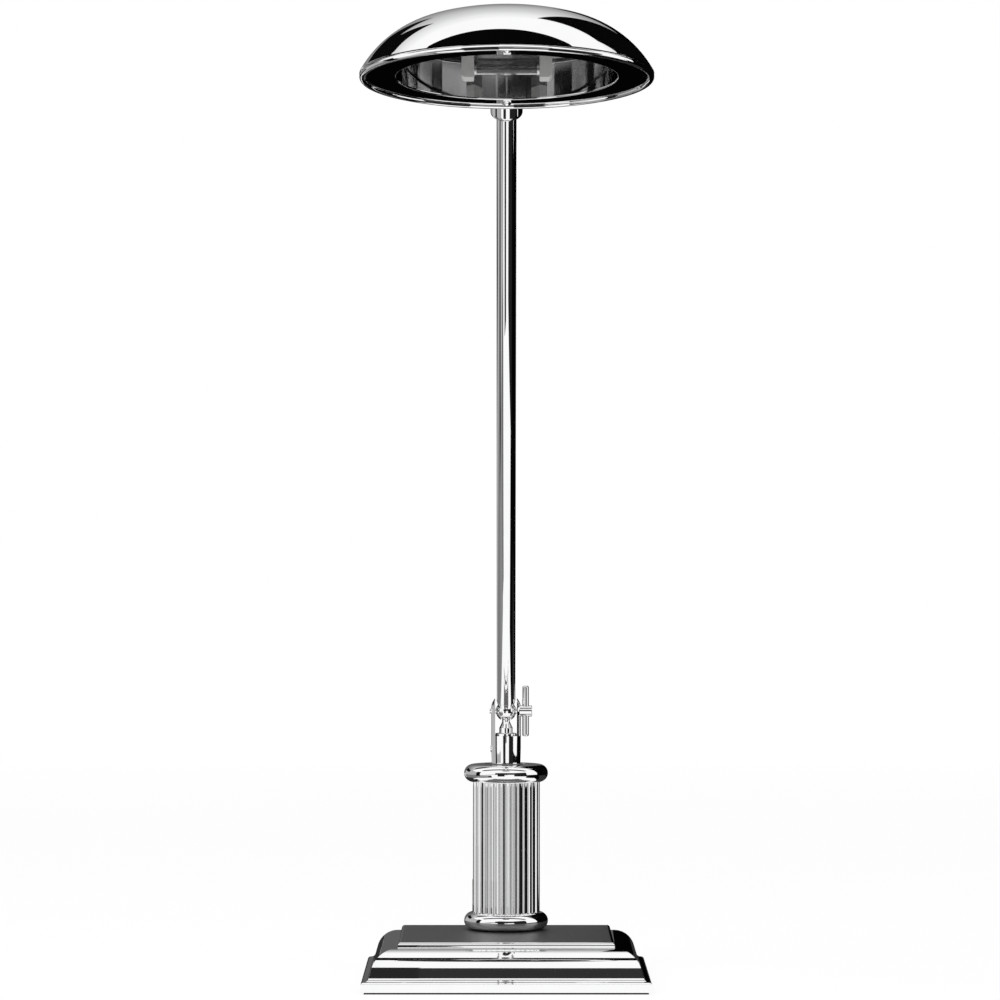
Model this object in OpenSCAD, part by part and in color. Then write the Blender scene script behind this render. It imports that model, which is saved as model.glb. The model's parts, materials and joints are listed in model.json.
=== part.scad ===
// Desk lamp: moulded weighted base, fluted column between two ring collars,
// clamping knuckle, single round arm and a shallow domed shade with a tube lamp.
// Millimetres. +Z up, the front of the lamp faces -Y, the origin is the point
// of the resting face that lies on the axis of the fluted column.

/* [Base] */
// width of the base across the lamp
base_width = 184; // [176:1:200]
// distance from the column axis to the front face of the base
base_front = 114; // [108:1:124]
// distance from the column axis to the rear face of the base
base_back = 53.4; // [51:0.2:60]
// thickness of the felt pad under the base
felt_thickness = 1.2; // [0.8:0.1:1.8]
// how far the felt pad stays inside the edge of the base
felt_inset = 2; // [1:0.5:4]
// top of the plain vertical face of the plinth
plinth_top = 6.5; // [5.5:0.1:7]
// height of the narrow ledge above the plinth
ledge_height = 7.4; // [7.2:0.1:7.8]
// radius of the cove at the foot of the moulding
cove_radius = 3.2; // [2.8:0.1:3.6]
// lean of the straight flank between the round and the cove
flank_angle = 16; // [12:0.5:18]
// radius of the rounded side of the moulding
round_radius = 15.8; // [15.4:0.1:16]
// distance from the edge of the base to the centre of the rounded side
round_inset = 21.9; // [21.6:0.1:22.2]
// height of the centre of the rounded side
round_height = 11.3; // [11.1:0.1:11.6]
// distance from the edge of the base to the foot of the top slab
slab_inset = 23; // [22.5:0.1:24]
// height of the top slab above the rounded side
slab_height = 3.6; // [3:0.1:4.2]
// radius of the rounded edge of the top slab
slab_round = 2.3; // [1.5:0.1:2.6]
// thickness of the casting under the top slab
roof_thickness = 4; // [3:0.2:4.6]
// thickness of the plate that closes the base
plate_thickness = 2; // [1.5:0.1:2.5]
// how far the closing plate stays inside the edge of the base
plate_inset = 5; // [4:0.2:6]
// distance from the edge of the base to the hollow inside it
cavity_inset = 13; // [12.4:0.2:14]
// distance from the edge of the base to the four closing screws
plate_screw_inset = 9; // [8.6:0.1:9.4]
// shank diameter of the closing screws
plate_screw_diameter = 4; // [3.4:0.1:4.4]
// gap between the ballast block and the casting at its sides and front
ballast_clearance = 3; // [1:0.5:8]
// distance from the column axis to the rear ends of the ballast block
ballast_back = 20; // [10:0.5:22]
// diameter of the gap in the ballast block around the fixing nut
ballast_gap = 64; // [50:1:70]

/* [Cord inlet] */
// height of the centre of the cord inlet
inlet_height = 14; // [13.4:0.1:14.4]
// diameter of the flange of the cord grommet
grommet_flange_diameter = 11.6; // [10.6:0.2:12]
// thickness of the flange of the cord grommet
grommet_flange = 1.6; // [1:0.1:2]
// diameter of the sleeve of the cord grommet
grommet_diameter = 8; // [7:0.2:8.6]
// diameter of the hole for the cord
cord_hole = 5.2; // [4.4:0.2:5.6]

/* [Column] */
// overall diameter of the two ring collars
ring_diameter = 55; // [53:0.5:58]
// thickness of the ring collars
ring_thickness = 11.5; // [10.5:0.1:12]
// diameter over the ridges of the fluted column
column_diameter = 44.4; // [43:0.2:45]
// height of the fluted column between the collars
column_length = 85.2; // [70:0.2:110]
// number of flutes around the column
flute_count = 36; // [30:1:36]
// radius of one flute
flute_radius = 1.75; // [1.5:0.05:1.8]
// how far the centre line of a flute lies outside the column surface
flute_offset = 0.35; // [0.3:0.05:0.6]
// bore of the fluted column
column_bore = 30; // [28:0.5:34]
// height of the low spigots that centre the column on the collars
spigot_height = 2; // [1.5:0.1:3]
// outer diameter of the threaded tie tube
tie_diameter = 13; // [12.4:0.1:13.4]
// bore of the threaded tie tube
tie_bore = 8; // [6:0.2:9]
// distance across the flats of the tie nut
tie_nut_flats = 22; // [19:0.5:26]
// height of the tie nut
tie_nut_height = 6; // [5:0.2:6.6]
// diameter of the washer under the tie nut
tie_washer_diameter = 28; // [26:0.5:32]
// thickness of the washer under the tie nut
tie_washer_thickness = 1.5; // [1:0.1:2]

/* [Stem and knuckle] */
// height of the pivot of the arm above the top of the upper collar
pivot_rise = 34.8; // [33.6:0.2:40]
// diameter of the stem bar
stem_diameter = 19.4; // [19.2:0.1:20]
// how far the top of the stem is rounded above the pivot
crown_rise = 1.9; // [1.5:0.1:2.4]
// width of the slot in the stem
slot_width = 14.3; // [14.2:0.05:14.8]
// depth of the slot floor below the pivot
slot_depth = 16.1; // [15.8:0.1:17]
// diameter of the spigot that turns in the bearing
stem_spigot_diameter = 10; // [9:0.1:10.4]
// length of the spigot below the stem
stem_spigot_length = 18.6; // [18.2:0.1:19.4]
// bore of the stem for the lead
stem_bore = 5; // [4:0.2:5.4]
// thickness of the thrust washer under the stem
thrust_thickness = 0.8; // [0.6:0.1:1.2]
// diameter of the thrust washer under the stem
thrust_diameter = 22; // [21:0.2:24]
// distance across the flats of the nut under the bearing
stem_nut_flats = 11; // [10.6:0.1:11.1]
// height of the nut under the bearing
stem_nut_height = 4; // [3:0.1:4.4]
// diameter of the bearing flange
bearing_diameter = 28; // [27:0.1:30]
// diameter of the bearing barrel
bearing_barrel = 18; // [17.2:0.1:20]
// diameter of the ball at the lower end of the arm
ball_diameter = 13.4; // [13.2:0.05:13.6]
// width of the lead slot in the ball
ball_slot_width = 6.7; // [6.6:0.05:6.8]
// diameter of the core left in the ball slot
ball_core = 7; // [6.8:0.05:7.1]
// swing of the arm forward of its shown lean that the ball slot allows
slot_forward = 30; // [20:1:32]
// swing of the arm back from its shown lean that the ball slot allows
slot_backward = 36; // [25:1:38]
// diameter of the fixed pivot pin
pin_diameter = 3.3; // [3:0.05:3.5]
// how far the pivot pin stands out of the stem
pin_proud = 1.1; // [0.6:0.1:1.6]
// distance of the pin ends from the middle of the ball
pin_inner = 3.3; // [3:0.1:3.6]
// diameter of the flange of the lead nipple
nipple_flange_diameter = 14; // [13:0.1:14.1]
// thickness of the flange of the lead nipple
nipple_flange = 1.6; // [1.2:0.1:2]
// diameter of the body of the lead nipple
nipple_body = 8.9; // [8:0.1:9.6]
// diameter of the neck of the lead nipple
nipple_neck = 6; // [5.6:0.1:6.05]
// diameter of the hole through the lead nipple
nipple_bore = 3.2; // [3.1:0.05:3.6]
// diameter of the lead inside the stem and the arm
lead_diameter = 3; // [2.4:0.05:3.05]
// depth of the nipple screw below the pivot
nipple_screw_drop = 24.6; // [24:0.1:26]
// head diameter of the nipple screw
nipple_screw_head = 4.6; // [4:0.1:5]

/* [Clamp handle] */
// diameter of the hub of the clamp screw
hub_diameter = 7.2; // [6.8:0.1:8]
// distance from the middle of the stem to the seat of the hub
hub_seat = 8.4; // [8.2:0.05:8.6]
// distance from the middle of the stem to the end of the hub
hub_end = 17; // [16.4:0.1:18]
// shank diameter of the clamp screw
clamp_shank = 3.9; // [3.4:0.1:4.2]
// diameter of the cross bar
bar_diameter = 4.4; // [3.8:0.1:4.6]
// length of the cross bar
bar_length = 33.1; // [28:0.1:36]
// distance from the middle of the stem to the cross bar
bar_offset = 12.8; // [12.6:0.1:13.2]

/* [Arm] */
// lean of the arm towards the front as shown
arm_lean = 31; // [20:0.5:40]
// distance from the pivot to the pivot of the shade
arm_length = 472.1; // [380:0.1:520]
// outer diameter of the arm tube
arm_diameter = 12.2; // [11.8:0.1:12.8]
// bore of the arm tube
arm_bore = 10; // [9.8:0.1:10.4]
// distance from the pivot to the lower end of the arm tube
arm_start = 8.1; // [7.8:0.1:9]
// length of the spigot inside the lower end of the arm tube
arm_spigot = 18; // [12:0.5:24]
// diameter of the cup at the top of the arm
cup_diameter = 19.6; // [19:0.1:20.4]
// length of the cup at the top of the arm
cup_length = 16; // [15:0.2:17]
// radius of the rounded lower edge of the cup
cup_round = 3.3; // [2:0.1:3.5]
// distance from the top of the cup to the pivot of the shade
cup_drop = 23.1; // [22.4:0.1:25]

/* [Shade swivel] */
// diameter of the turning spigot in the cup
post_spigot = 6; // [5.6:0.1:6.4]
// diameter of the flange of the swivel post
post_flange_diameter = 16; // [15:0.1:16.2]
// diameter of the neck of the swivel post
post_neck = 10; // [9:0.1:10.4]
// thickness of the eye of the swivel post
eye_thickness = 6; // [5.6:0.1:6.2]
// outer diameter of the eye and of the bracket cheeks
eye_diameter = 12; // [11:0.1:12.4]
// diameter of the hinge pin of the shade
hinge_pin_diameter = 4.9; // [4.4:0.1:5.2]
// thickness of one cheek of the shade bracket
cheek_thickness = 3; // [2.6:0.1:3.4]
// reach of the shade bracket from the dome to the pivot
bracket_reach = 19.5; // [19:0.1:21]
// diameter of the stud of the shade bracket
stud_diameter = 6; // [5.4:0.1:6.2]

/* [Shade] */
// tilt of the shade as shown, front edge up
shade_tilt = 6.3; // [0:0.1:10]
// radius of the shade over its rolled rim
rim_radius = 85.8; // [85:0.1:87]
// radius of the shallow crown of the dome
crown_radius = 170.3; // [165:0.1:176]
// radius of the shoulder of the dome
shoulder_radius = 63.6; // [63:0.1:64.2]
// distance of the centre of the shoulder below the lower edge of the dome
shoulder_drop = 30.3; // [29.8:0.1:30.8]
// thickness of the dome
dome_wall = 1.2; // [0.9:0.05:1.4]
// diameter of the rolled rim
bead_diameter = 3.9; // [3.6:0.1:4.2]
// position of the bracket on the shoulder, measured from the level
stud_angle = 45; // [44:0.5:46]
// height of the underside of the pan flange above the rim
flange_height = 1.7; // [1.7:0.1:2]
// thickness of the reflector pan
pan_wall = 0.8; // [0.6:0.05:0.9]
// radius of the round recess of the reflector pan
recess_radius = 64.3; // [63.6:0.1:64.6]
// gap between the recess of the reflector pan and the dome
recess_gap = 0.3; // [0.2:0.1:2]
// distance of the rim screws from the middle of the shade
rim_screw_radius = 76; // [75:0.1:77]
// head diameter of the rim screws
rim_screw_head = 5.8; // [5:0.1:6.4]

/* [Lamp] */
// height of the lamp axis above the rim
lamp_height = 8.3; // [8:0.1:9]
// diameter of the glass tube
glass_diameter = 9.7; // [9:0.1:10]
// visible length of the glass tube
glass_length = 35.3; // [34.8:0.1:35.5]
// diameter of the end caps of the lamp
cap_diameter = 11; // [10.6:0.1:11.6]
// distance between the inner faces of the lamp holders
holder_gap = 38; // [37.9:0.05:38.3]
// thickness of a lamp holder along the lamp
holder_thickness = 7.3; // [7.1:0.1:8]
// depth of a lamp holder from front to back
holder_depth = 13; // [12:0.1:16]
// height of the lower end of the lamp holders above the rim
holder_foot = 0.8; // [0.4:0.1:1.4]

/* [Hidden] */
big = 400;
cut = 0.5;
fit = 0.05;
run_fit = 0.05;
play = 0.3;

// levels of the base
base_floor = felt_thickness;
shelf_height = round_height + round_radius;
base_top = shelf_height + slab_height;
roof_height = base_top - roof_thickness;
plate_top = base_floor + plate_thickness;
plinth_slope = 1.1;
cove_step = 0.2;
cove_centre = ledge_height + cove_step + cove_radius;
flank_break = 2.5;
round_end = flank_angle - flank_break;
cove_end = flank_angle + flank_break;
flank_top = round_height + round_radius * sin(round_end);
flank_top_inset = round_inset - round_radius * cos(round_end);
flank_foot = cove_centre - cove_radius * sin(cove_end);
flank_foot_inset = flank_top_inset - (flank_top - flank_foot) * tan(flank_angle);
cove_inset = flank_foot_inset - cove_radius * cos(cove_end);
cavity_wall_top = 12;
cavity_roof_inset = slab_inset + 4;
plate_screw_length = 11;
plate_screw_head = plate_screw_diameter * 1.8;
countersink = plate_screw_diameter * 0.4;
ballast_width = base_width - 2 * cavity_roof_inset - 2 * ballast_clearance;
ballast_front = base_front - cavity_roof_inset - ballast_clearance;
base_depth = base_front + base_back;
screw_x = base_width / 2 - plate_screw_inset;
screw_front = plate_screw_inset - base_front;
screw_back = base_back - plate_screw_inset;
inlet_face = base_back - 9.2;
grommet_length = 9;
inlet_reach = 8;

// levels of the column
ring_tube = ring_thickness / 2;
ring_radius = ring_diameter / 2 - ring_tube;
lower_ring_top = base_top + ring_thickness;
upper_ring_base = lower_ring_top + column_length;
upper_ring_top = upper_ring_base + ring_thickness;
spigot_radius = column_bore / 2 - fit;
washer_floor = roof_height - tie_washer_thickness;
nut_floor = washer_floor - tie_nut_height;
tie_floor = nut_floor - 1.5;
bearing_seat = upper_ring_base + 4;
bearing_top = upper_ring_top - 0.5;
stem_floor = bearing_top + thrust_thickness;
web_floor = bearing_top - 12.4;
web_thread = web_floor - 8;
bearing_floor = web_thread - 14;
tie_top = web_thread - 2;
nut_room = bearing_barrel / 2 - 1.6;

// levels of the stem
pivot_z = upper_ring_top + pivot_rise;
crown_z = pivot_z + crown_rise;
slot_floor = pivot_z - slot_depth;
spigot_floor = stem_floor - stem_spigot_length;
stem_nut_top = web_floor - 0.5;
stem_nut_floor = stem_nut_top - stem_nut_height;
stem_nut_radius = stem_nut_flats / 2 / cos(30);
ball_radius = ball_diameter / 2;
tail_floor = slot_floor - 13.6;
tail_diameter = 6.8;
nipple_screw_z = pivot_z - nipple_screw_drop;
nipple_seat = 0.9 - stem_diameter / 2;
nipple_top = pivot_z - 4;
lead_floor = spigot_floor - 2;
face_length = 1.2;

// places along the arm, measured from the pivot
cup_top = arm_length - cup_drop;
cup_base = cup_top - cup_length;
cup_seat = cup_base + 8;
cup_web = cup_seat + 4;
tube_end = cup_seat - 0.1;
post_nut_height = 3.2;
post_washer = 0.6;
post_nut_top = cup_seat - post_washer;
post_nut_flats = 8;
post_end = post_nut_top - post_nut_height - 0.4;
neck_top = arm_length - 8.6;

// places on the shade, measured from the middle of its rim plane
bead_radius = bead_diameter / 2;
dome_base = bead_diameter;
shoulder_z = dome_base - shoulder_drop;
shoulder_r = rim_radius - sqrt(shoulder_radius * shoulder_radius - shoulder_drop * shoulder_drop);
crown_gap = crown_radius - shoulder_radius;
crown_z_centre = shoulder_z - sqrt(crown_gap * crown_gap - shoulder_r * shoulder_r);
stud_r = shoulder_r + shoulder_radius * sin(stud_angle);
stud_z = shoulder_z + shoulder_radius * cos(stud_angle);
pivot_r = stud_r + bracket_reach * sin(stud_angle);
pivot_h = stud_z + bracket_reach * cos(stud_angle);
washer_seat = 1;
pan_edge = rim_radius - bead_diameter - 0.1;
flange_top = flange_height + pan_wall;
recess_reach = recess_radius + pan_wall - shoulder_r;
recess_arc = shoulder_radius - dome_wall - recess_gap;
recess_height = shoulder_z + sqrt(recess_arc * recess_arc - recess_reach * recess_reach) - pan_wall;
ceiling_top = recess_height + pan_wall;
strap_thickness = 1.2;
strap_top = ceiling_top + strap_thickness;
strap_length = 60;
strap_width = 16;
block_width = 14;
block_gap = 0.9;
block_wall = 1;
block_inner = recess_radius + pan_wall + block_gap;
stud_room = stud_r - block_inner - block_wall - stud_diameter / 2 * cos(stud_angle);
stud_length = stud_room / sin(stud_angle) - cut;
block_outer = 80;
rim_screw_shank = 3;
screw_clearance = 0.4;
rim_screw_depth = stud_z - (stud_length + stud_diameter / 2) * cos(stud_angle) - flange_height
                  - screw_clearance;
holder_in = holder_gap / 2;
holder_out = holder_in + holder_thickness;
contact_in = holder_in + 5.4;
contact_thickness = 0.8;
socket_radius = 5.2;
tail_width = 3;
holder_screw_x = holder_in + 2.6;
holder_screw_y = 4.2;
cap_face = glass_length / 2;
cap_ring_end = holder_in - 0.05;
glass_end = cap_face + 0.8;

base_shell();
ballast_weight();
bottom_plate();
bottom_plate_screws();
felt_pad();
cord_grommet();
lower_ring();
fluted_column();
upper_ring();
tie_tube();
tie_washer();
tie_nut();
stem_bearing();
thrust_washer();
clevis_stem();
stem_nut();
stem_nut_washer();
nipple_screw();
lead_nipple();
pivot_pin();
stem_lead();
clamp_screw();
cross_bar();
knuckle_ball();
arm_tube();
top_cup();
arm_lead();
swivel_post();
post_nut();
post_washer_ring();  // post_washer
shade_bracket();
bracket_washer();
hinge_pin();
hinge_nut();
mounting_block();
front_pillar();
shade_dome();
rim_bead();
reflector_pan();
rim_screws();
holder_strap();
holder_screws();
left_lampholder();
right_lampholder();
contact_springs();
lamp_glass();
lamp_caps();
filament();

// ---------- frames ----------

// places children in the frame of the arm: +Z runs up the arm from the pivot
module arm_frame() {
    translate([0, 0, pivot_z]) rotate([arm_lean, 0, 0]) children();
}

// places children in the frame of the shade: origin in the middle of the rim plane
module shade_frame() {
    arm_frame()
        translate([0, 0, arm_length])
            rotate([-arm_lean - shade_tilt, 0, 0])
                translate([0, -pivot_r, -pivot_h]) children();
}

// places children where the bracket stud leaves the dome, +Z away from the dome
module stud_frame() {
    translate([0, stud_r, stud_z]) rotate([-stud_angle, 0, 0]) children();
}

// a cylinder along X between two places
module x_bar(radius, from, to) {
    translate([from, 0, 0]) rotate([0, 90, 0]) cylinder(r = radius, h = to - from, $fn = 96);
}

// ---------- base ----------

// half outline of the moulding from the column axis out to an edge
module moulding_half(reach) {
    translate([0, base_floor]) square([reach, plinth_top - base_floor]);
    polygon([[0, base_floor + 1], [reach, base_floor + 1], [reach, plinth_top],
             [reach - plinth_slope, ledge_height], [0, ledge_height]]);
    difference() {
        polygon([[0, base_floor + 1], [reach - cove_inset, base_floor + 1],
                 [reach - cove_inset, cove_centre], [reach - flank_foot_inset, flank_foot],
                 [reach - flank_top_inset, flank_top], [reach - round_inset, flank_top + 1],
                 [0, flank_top + 1]]);
        translate([reach - cove_inset, cove_centre]) circle(r = cove_radius, $fn = 128);
    }
    intersection() {
        translate([reach - round_inset, round_height]) circle(r = round_radius, $fn = 160);
        translate([0, flank_top]) square([big, big]);
    }
    translate([0, flank_top]) square([reach - round_inset, shelf_height - flank_top]);
    translate([0, shelf_height - 1]) square([reach - slab_inset, slab_height + 1 - slab_round]);
    translate([0, shelf_height]) square([reach - slab_inset - slab_round, slab_height]);
    translate([reach - slab_inset - slab_round, base_top - slab_round])
        circle(r = slab_round, $fn = 64);
}

// half outline of the hollow inside the base
module cavity_half(reach) {
    polygon([[0, base_floor - cut], [reach - plate_inset + play, base_floor - cut],
             [reach - plate_inset + play, plate_top], [reach - cavity_inset, plate_top],
             [reach - cavity_inset, cavity_wall_top], [reach - cavity_roof_inset, roof_height],
             [0, roof_height]]);
}

module across_solid() {
    translate([0, big / 2, 0]) rotate([90, 0, 0]) linear_extrude(height = big) children();
}

module along_solid() {
    translate([-big / 2, 0, 0]) rotate([90, 0, 90]) linear_extrude(height = big) children();
}

module base_block() {
    intersection() {
        across_solid() union() {
            moulding_half(base_width / 2);
            mirror([1, 0]) moulding_half(base_width / 2);
        }
        along_solid() union() {
            moulding_half(base_back);
            mirror([1, 0]) moulding_half(base_front);
        }
    }
}

module base_cavity() {
    intersection() {
        across_solid() union() {
            cavity_half(base_width / 2);
            mirror([1, 0]) cavity_half(base_width / 2);
        }
        along_solid() union() {
            cavity_half(base_back);
            mirror([1, 0]) cavity_half(base_front);
        }
    }
}

module at_plate_screws() {
    for (x = [-screw_x, screw_x], y = [screw_front, screw_back])
        translate([x, y, 0]) children();
}

module base_shell() {
    color([0.75, 0.76, 0.78])
    difference() {
        base_block();
        base_cavity();
        translate([0, 0, roof_height - cut])
            cylinder(r = tie_diameter / 2 + fit, h = roof_thickness + 2 * cut, $fn = 96);
        at_plate_screws()
            translate([0, 0, plate_top - cut])
                cylinder(r = plate_screw_diameter / 2 + fit, h = plate_screw_length - plate_thickness + cut + 1,
                         $fn = 48);
        translate([0, base_back - cavity_inset - inlet_reach, inlet_height])
            rotate([-90, 0, 0])
                cylinder(r = grommet_diameter / 2 + fit, h = cavity_inset + 2 * inlet_reach, $fn = 64);
        translate([0, inlet_face, inlet_height])
            rotate([-90, 0, 0])
                cylinder(r = grommet_flange_diameter / 2 + play, h = cavity_inset + inlet_reach, $fn = 64);
    }
}

module ballast_weight() {
    color([0.25, 0.25, 0.27])
    difference() {
        translate([-ballast_width / 2, -ballast_front, plate_top])
            cube([ballast_width, ballast_front + ballast_back, roof_height - plate_top]);
        translate([0, 0, plate_top - cut])
            cylinder(r = ballast_gap / 2, h = roof_height - plate_top + 2 * cut, $fn = 128);
    }
}

module bottom_plate() {
    color([0.45, 0.46, 0.48])
    difference() {
        translate([plate_inset - base_width / 2, plate_inset - base_front, base_floor])
            cube([base_width - 2 * plate_inset, base_depth - 2 * plate_inset, plate_thickness]);
        at_plate_screws() {
            translate([0, 0, base_floor - cut])
                cylinder(r = plate_screw_diameter / 2 + fit, h = plate_thickness + 2 * cut, $fn = 48);
            translate([0, 0, base_floor])
                cylinder(r1 = plate_screw_head / 2 + fit, r2 = plate_screw_diameter / 2 + fit,
                         h = countersink, $fn = 48);
        }
    }
}

module bottom_plate_screws() {
    color([0.6, 0.6, 0.62])
    at_plate_screws()
        translate([0, 0, base_floor])
            union() {
                cylinder(r1 = plate_screw_head / 2, r2 = plate_screw_diameter / 2,
                         h = countersink, $fn = 48);
                cylinder(r = plate_screw_diameter / 2, h = plate_screw_length, $fn = 48);
            }
}

module felt_pad() {
    color([0.08, 0.08, 0.08])
    translate([felt_inset - base_width / 2, felt_inset - base_front, 0])
        cube([base_width - 2 * felt_inset, base_depth - 2 * felt_inset, felt_thickness]);
}

module cord_grommet() {
    color([0.06, 0.06, 0.06])
    translate([0, inlet_face, inlet_height]) rotate([-90, 0, 0])
    difference() {
        union() {
            cylinder(r = grommet_flange_diameter / 2, h = grommet_flange, $fn = 64);
            translate([0, 0, -grommet_length])
                cylinder(r = grommet_diameter / 2, h = grommet_length + cut, $fn = 64);
        }
        translate([0, 0, -grommet_length - cut])
            cylinder(r = cord_hole / 2, h = grommet_length + grommet_flange + 2 * cut, $fn = 64);
    }
}

// ---------- column ----------

// collar with a flat inside and a half-round outside, bored through
module ring_body(floor_z) {
    translate([0, 0, floor_z]) {
        translate([0, 0, ring_tube])
            rotate_extrude($fn = 160) translate([ring_radius, 0]) circle(r = ring_tube, $fn = 96);
        cylinder(r = ring_radius, h = ring_thickness, $fn = 160);
    }
}

module lower_ring() {
    color([0.78, 0.79, 0.8])
    difference() {
        union() {
            ring_body(base_top);
            translate([0, 0, lower_ring_top - cut])
                cylinder(r = spigot_radius, h = spigot_height + cut, $fn = 128);
        }
        translate([0, 0, base_top - cut])
            cylinder(r = tie_diameter / 2 + fit, h = ring_thickness + spigot_height + 2 * cut, $fn = 96);
    }
}

module fluted_column() {
    color([0.7, 0.71, 0.72])
    translate([0, 0, lower_ring_top])
    linear_extrude(height = column_length)
    difference() {
        circle(r = column_diameter / 2, $fn = 180);
        circle(r = column_bore / 2, $fn = 128);
        for (i = [0 : flute_count - 1])
            rotate(i * 360 / flute_count)
                translate([column_diameter / 2 + flute_offset, 0]) circle(r = flute_radius, $fn = 48);
    }
}

module upper_ring() {
    color([0.78, 0.79, 0.8])
    difference() {
        union() {
            ring_body(upper_ring_base);
            translate([0, 0, upper_ring_base - spigot_height])
                cylinder(r = spigot_radius, h = spigot_height + cut, $fn = 128);
        }
        translate([0, 0, upper_ring_base - spigot_height - cut])
            cylinder(r = bearing_barrel / 2 + fit, h = ring_thickness + spigot_height + 2 * cut, $fn = 96);
        translate([0, 0, bearing_seat])
            cylinder(r = bearing_diameter / 2 + fit, h = ring_thickness, $fn = 128);
    }
}

module tie_tube() {
    color([0.65, 0.6, 0.45])
    difference() {
        translate([0, 0, tie_floor])
            cylinder(r = tie_diameter / 2, h = tie_top - tie_floor, $fn = 96);
        translate([0, 0, tie_floor - cut])
            cylinder(r = tie_bore / 2, h = tie_top - tie_floor + 2 * cut, $fn = 96);
    }
}

module tie_washer() {
    color([0.6, 0.6, 0.62])
    difference() {
        translate([0, 0, washer_floor])
            cylinder(r = tie_washer_diameter / 2, h = tie_washer_thickness, $fn = 96);
        translate([0, 0, washer_floor - cut])
            cylinder(r = tie_diameter / 2 + fit, h = tie_washer_thickness + 2 * cut, $fn = 96);
    }
}

module tie_nut() {
    color([0.62, 0.57, 0.42])
    difference() {
        translate([0, 0, nut_floor])
            cylinder(r = tie_nut_flats / 2 / cos(30), h = tie_nut_height, $fn = 6);
        translate([0, 0, nut_floor - cut])
            cylinder(r = tie_diameter / 2 + fit, h = tie_nut_height + 2 * cut, $fn = 96);
    }
}

module stem_bearing() {
    color([0.72, 0.62, 0.35])
    difference() {
        union() {
            translate([0, 0, bearing_seat])
                cylinder(r = bearing_diameter / 2, h = bearing_top - bearing_seat, $fn = 128);
            translate([0, 0, bearing_floor])
                cylinder(r = bearing_barrel / 2, h = bearing_seat - bearing_floor + cut, $fn = 96);
        }
        translate([0, 0, bearing_floor - cut])
            cylinder(r = tie_diameter / 2 + fit, h = web_thread - bearing_floor + 2 * cut, $fn = 96);
        translate([0, 0, web_thread])
            cylinder(r = nut_room, h = web_floor - web_thread, $fn = 96);
        translate([0, 0, web_floor - cut])
            cylinder(r = stem_spigot_diameter / 2 + run_fit, h = bearing_top - web_floor + 2 * cut, $fn = 96);
    }
}

module thrust_washer() {
    color([0.72, 0.62, 0.35])
    difference() {
        translate([0, 0, bearing_top])
            cylinder(r = thrust_diameter / 2, h = thrust_thickness, $fn = 96);
        translate([0, 0, bearing_top - cut])
            cylinder(r = stem_spigot_diameter / 2 + run_fit, h = thrust_thickness + 2 * cut, $fn = 96);
    }
}

// ---------- stem and knuckle ----------

module clevis_stem() {
    color([0.76, 0.77, 0.79])
    difference() {
        union() {
            translate([0, 0, stem_floor])
                cylinder(r = stem_diameter / 2, h = crown_z - stem_floor, $fn = 96);
            translate([0, 0, crown_z]) sphere(r = stem_diameter / 2, $fn = 96);
            translate([0, 0, spigot_floor])
                cylinder(r = stem_spigot_diameter / 2, h = stem_spigot_length + cut, $fn = 96);
        }
        translate([-slot_width / 2, -big / 2, slot_floor]) cube([slot_width, big, big]);
        translate([0, 0, spigot_floor - cut])
            cylinder(r = stem_bore / 2, h = slot_floor - spigot_floor + 2 * cut, $fn = 64);
        translate([0, 0, tail_floor])
            cylinder(r = tail_diameter / 2 + fit, h = slot_floor - tail_floor + cut, $fn = 64);
        translate([0, 0, pivot_z]) {
            x_bar(pin_diameter / 2 + fit, -stem_diameter, 0);
            x_bar(clamp_shank / 2 + run_fit, 0, stem_diameter);
            x_bar(hub_diameter / 2 + play, hub_seat, stem_diameter);
        }
        translate([0, 0, nipple_screw_z]) {
            x_bar(1.5 + fit, -stem_diameter, 0);
            x_bar(nipple_screw_head / 2 + 0.1, -stem_diameter, nipple_seat);
        }
    }
}

module stem_nut() {
    color([0.6, 0.6, 0.62])
    difference() {
        translate([0, 0, stem_nut_floor])
            cylinder(r = stem_nut_radius, h = stem_nut_height, $fn = 6);
        translate([0, 0, stem_nut_floor - cut])
            cylinder(r = stem_spigot_diameter / 2 + fit, h = stem_nut_height + 2 * cut, $fn = 96);
    }
}

module stem_nut_washer() {
    color([0.72, 0.62, 0.35])
    difference() {
        translate([0, 0, stem_nut_top])
            cylinder(r = tie_diameter / 2 - 0.1, h = web_floor - stem_nut_top, $fn = 96);
        translate([0, 0, stem_nut_top - cut])
            cylinder(r = stem_spigot_diameter / 2 + fit, h = web_floor - stem_nut_top + 2 * cut, $fn = 96);
    }
}

module nipple_screw() {
    color([0.7, 0.71, 0.73])
    translate([0, 0, nipple_screw_z])
    difference() {
        union() {
            x_bar(1.5, nipple_seat - cut, -tail_diameter / 2);
            x_bar(nipple_screw_head / 2, -stem_diameter / 2 - 0.5, nipple_seat);
        }
        translate([-stem_diameter / 2 - 1, -0.4, -nipple_screw_head]) cube([0.9, 0.8, 2 * nipple_screw_head]);
    }
}

module lead_nipple() {
    color([0.74, 0.75, 0.77])
    difference() {
        union() {
            translate([0, 0, tail_floor])
                cylinder(r = tail_diameter / 2, h = slot_floor - tail_floor + cut, $fn = 64);
            translate([0, 0, slot_floor])
                cylinder(r = nipple_flange_diameter / 2, h = nipple_flange, $fn = 96);
            translate([0, 0, slot_floor])
                cylinder(r = nipple_body / 2, h = 5.6, $fn = 64);
            translate([0, 0, slot_floor + 5.6])
                cylinder(r1 = nipple_body / 2, r2 = nipple_neck / 2, h = 1.9, $fn = 64);
            translate([0, 0, slot_floor + 5])
                cylinder(r = nipple_neck / 2, h = nipple_top - slot_floor - 5, $fn = 64);
        }
        translate([0, 0, tail_floor - cut])
            cylinder(r = nipple_bore / 2, h = nipple_top - tail_floor + 2 * cut, $fn = 48);
    }
}

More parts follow.
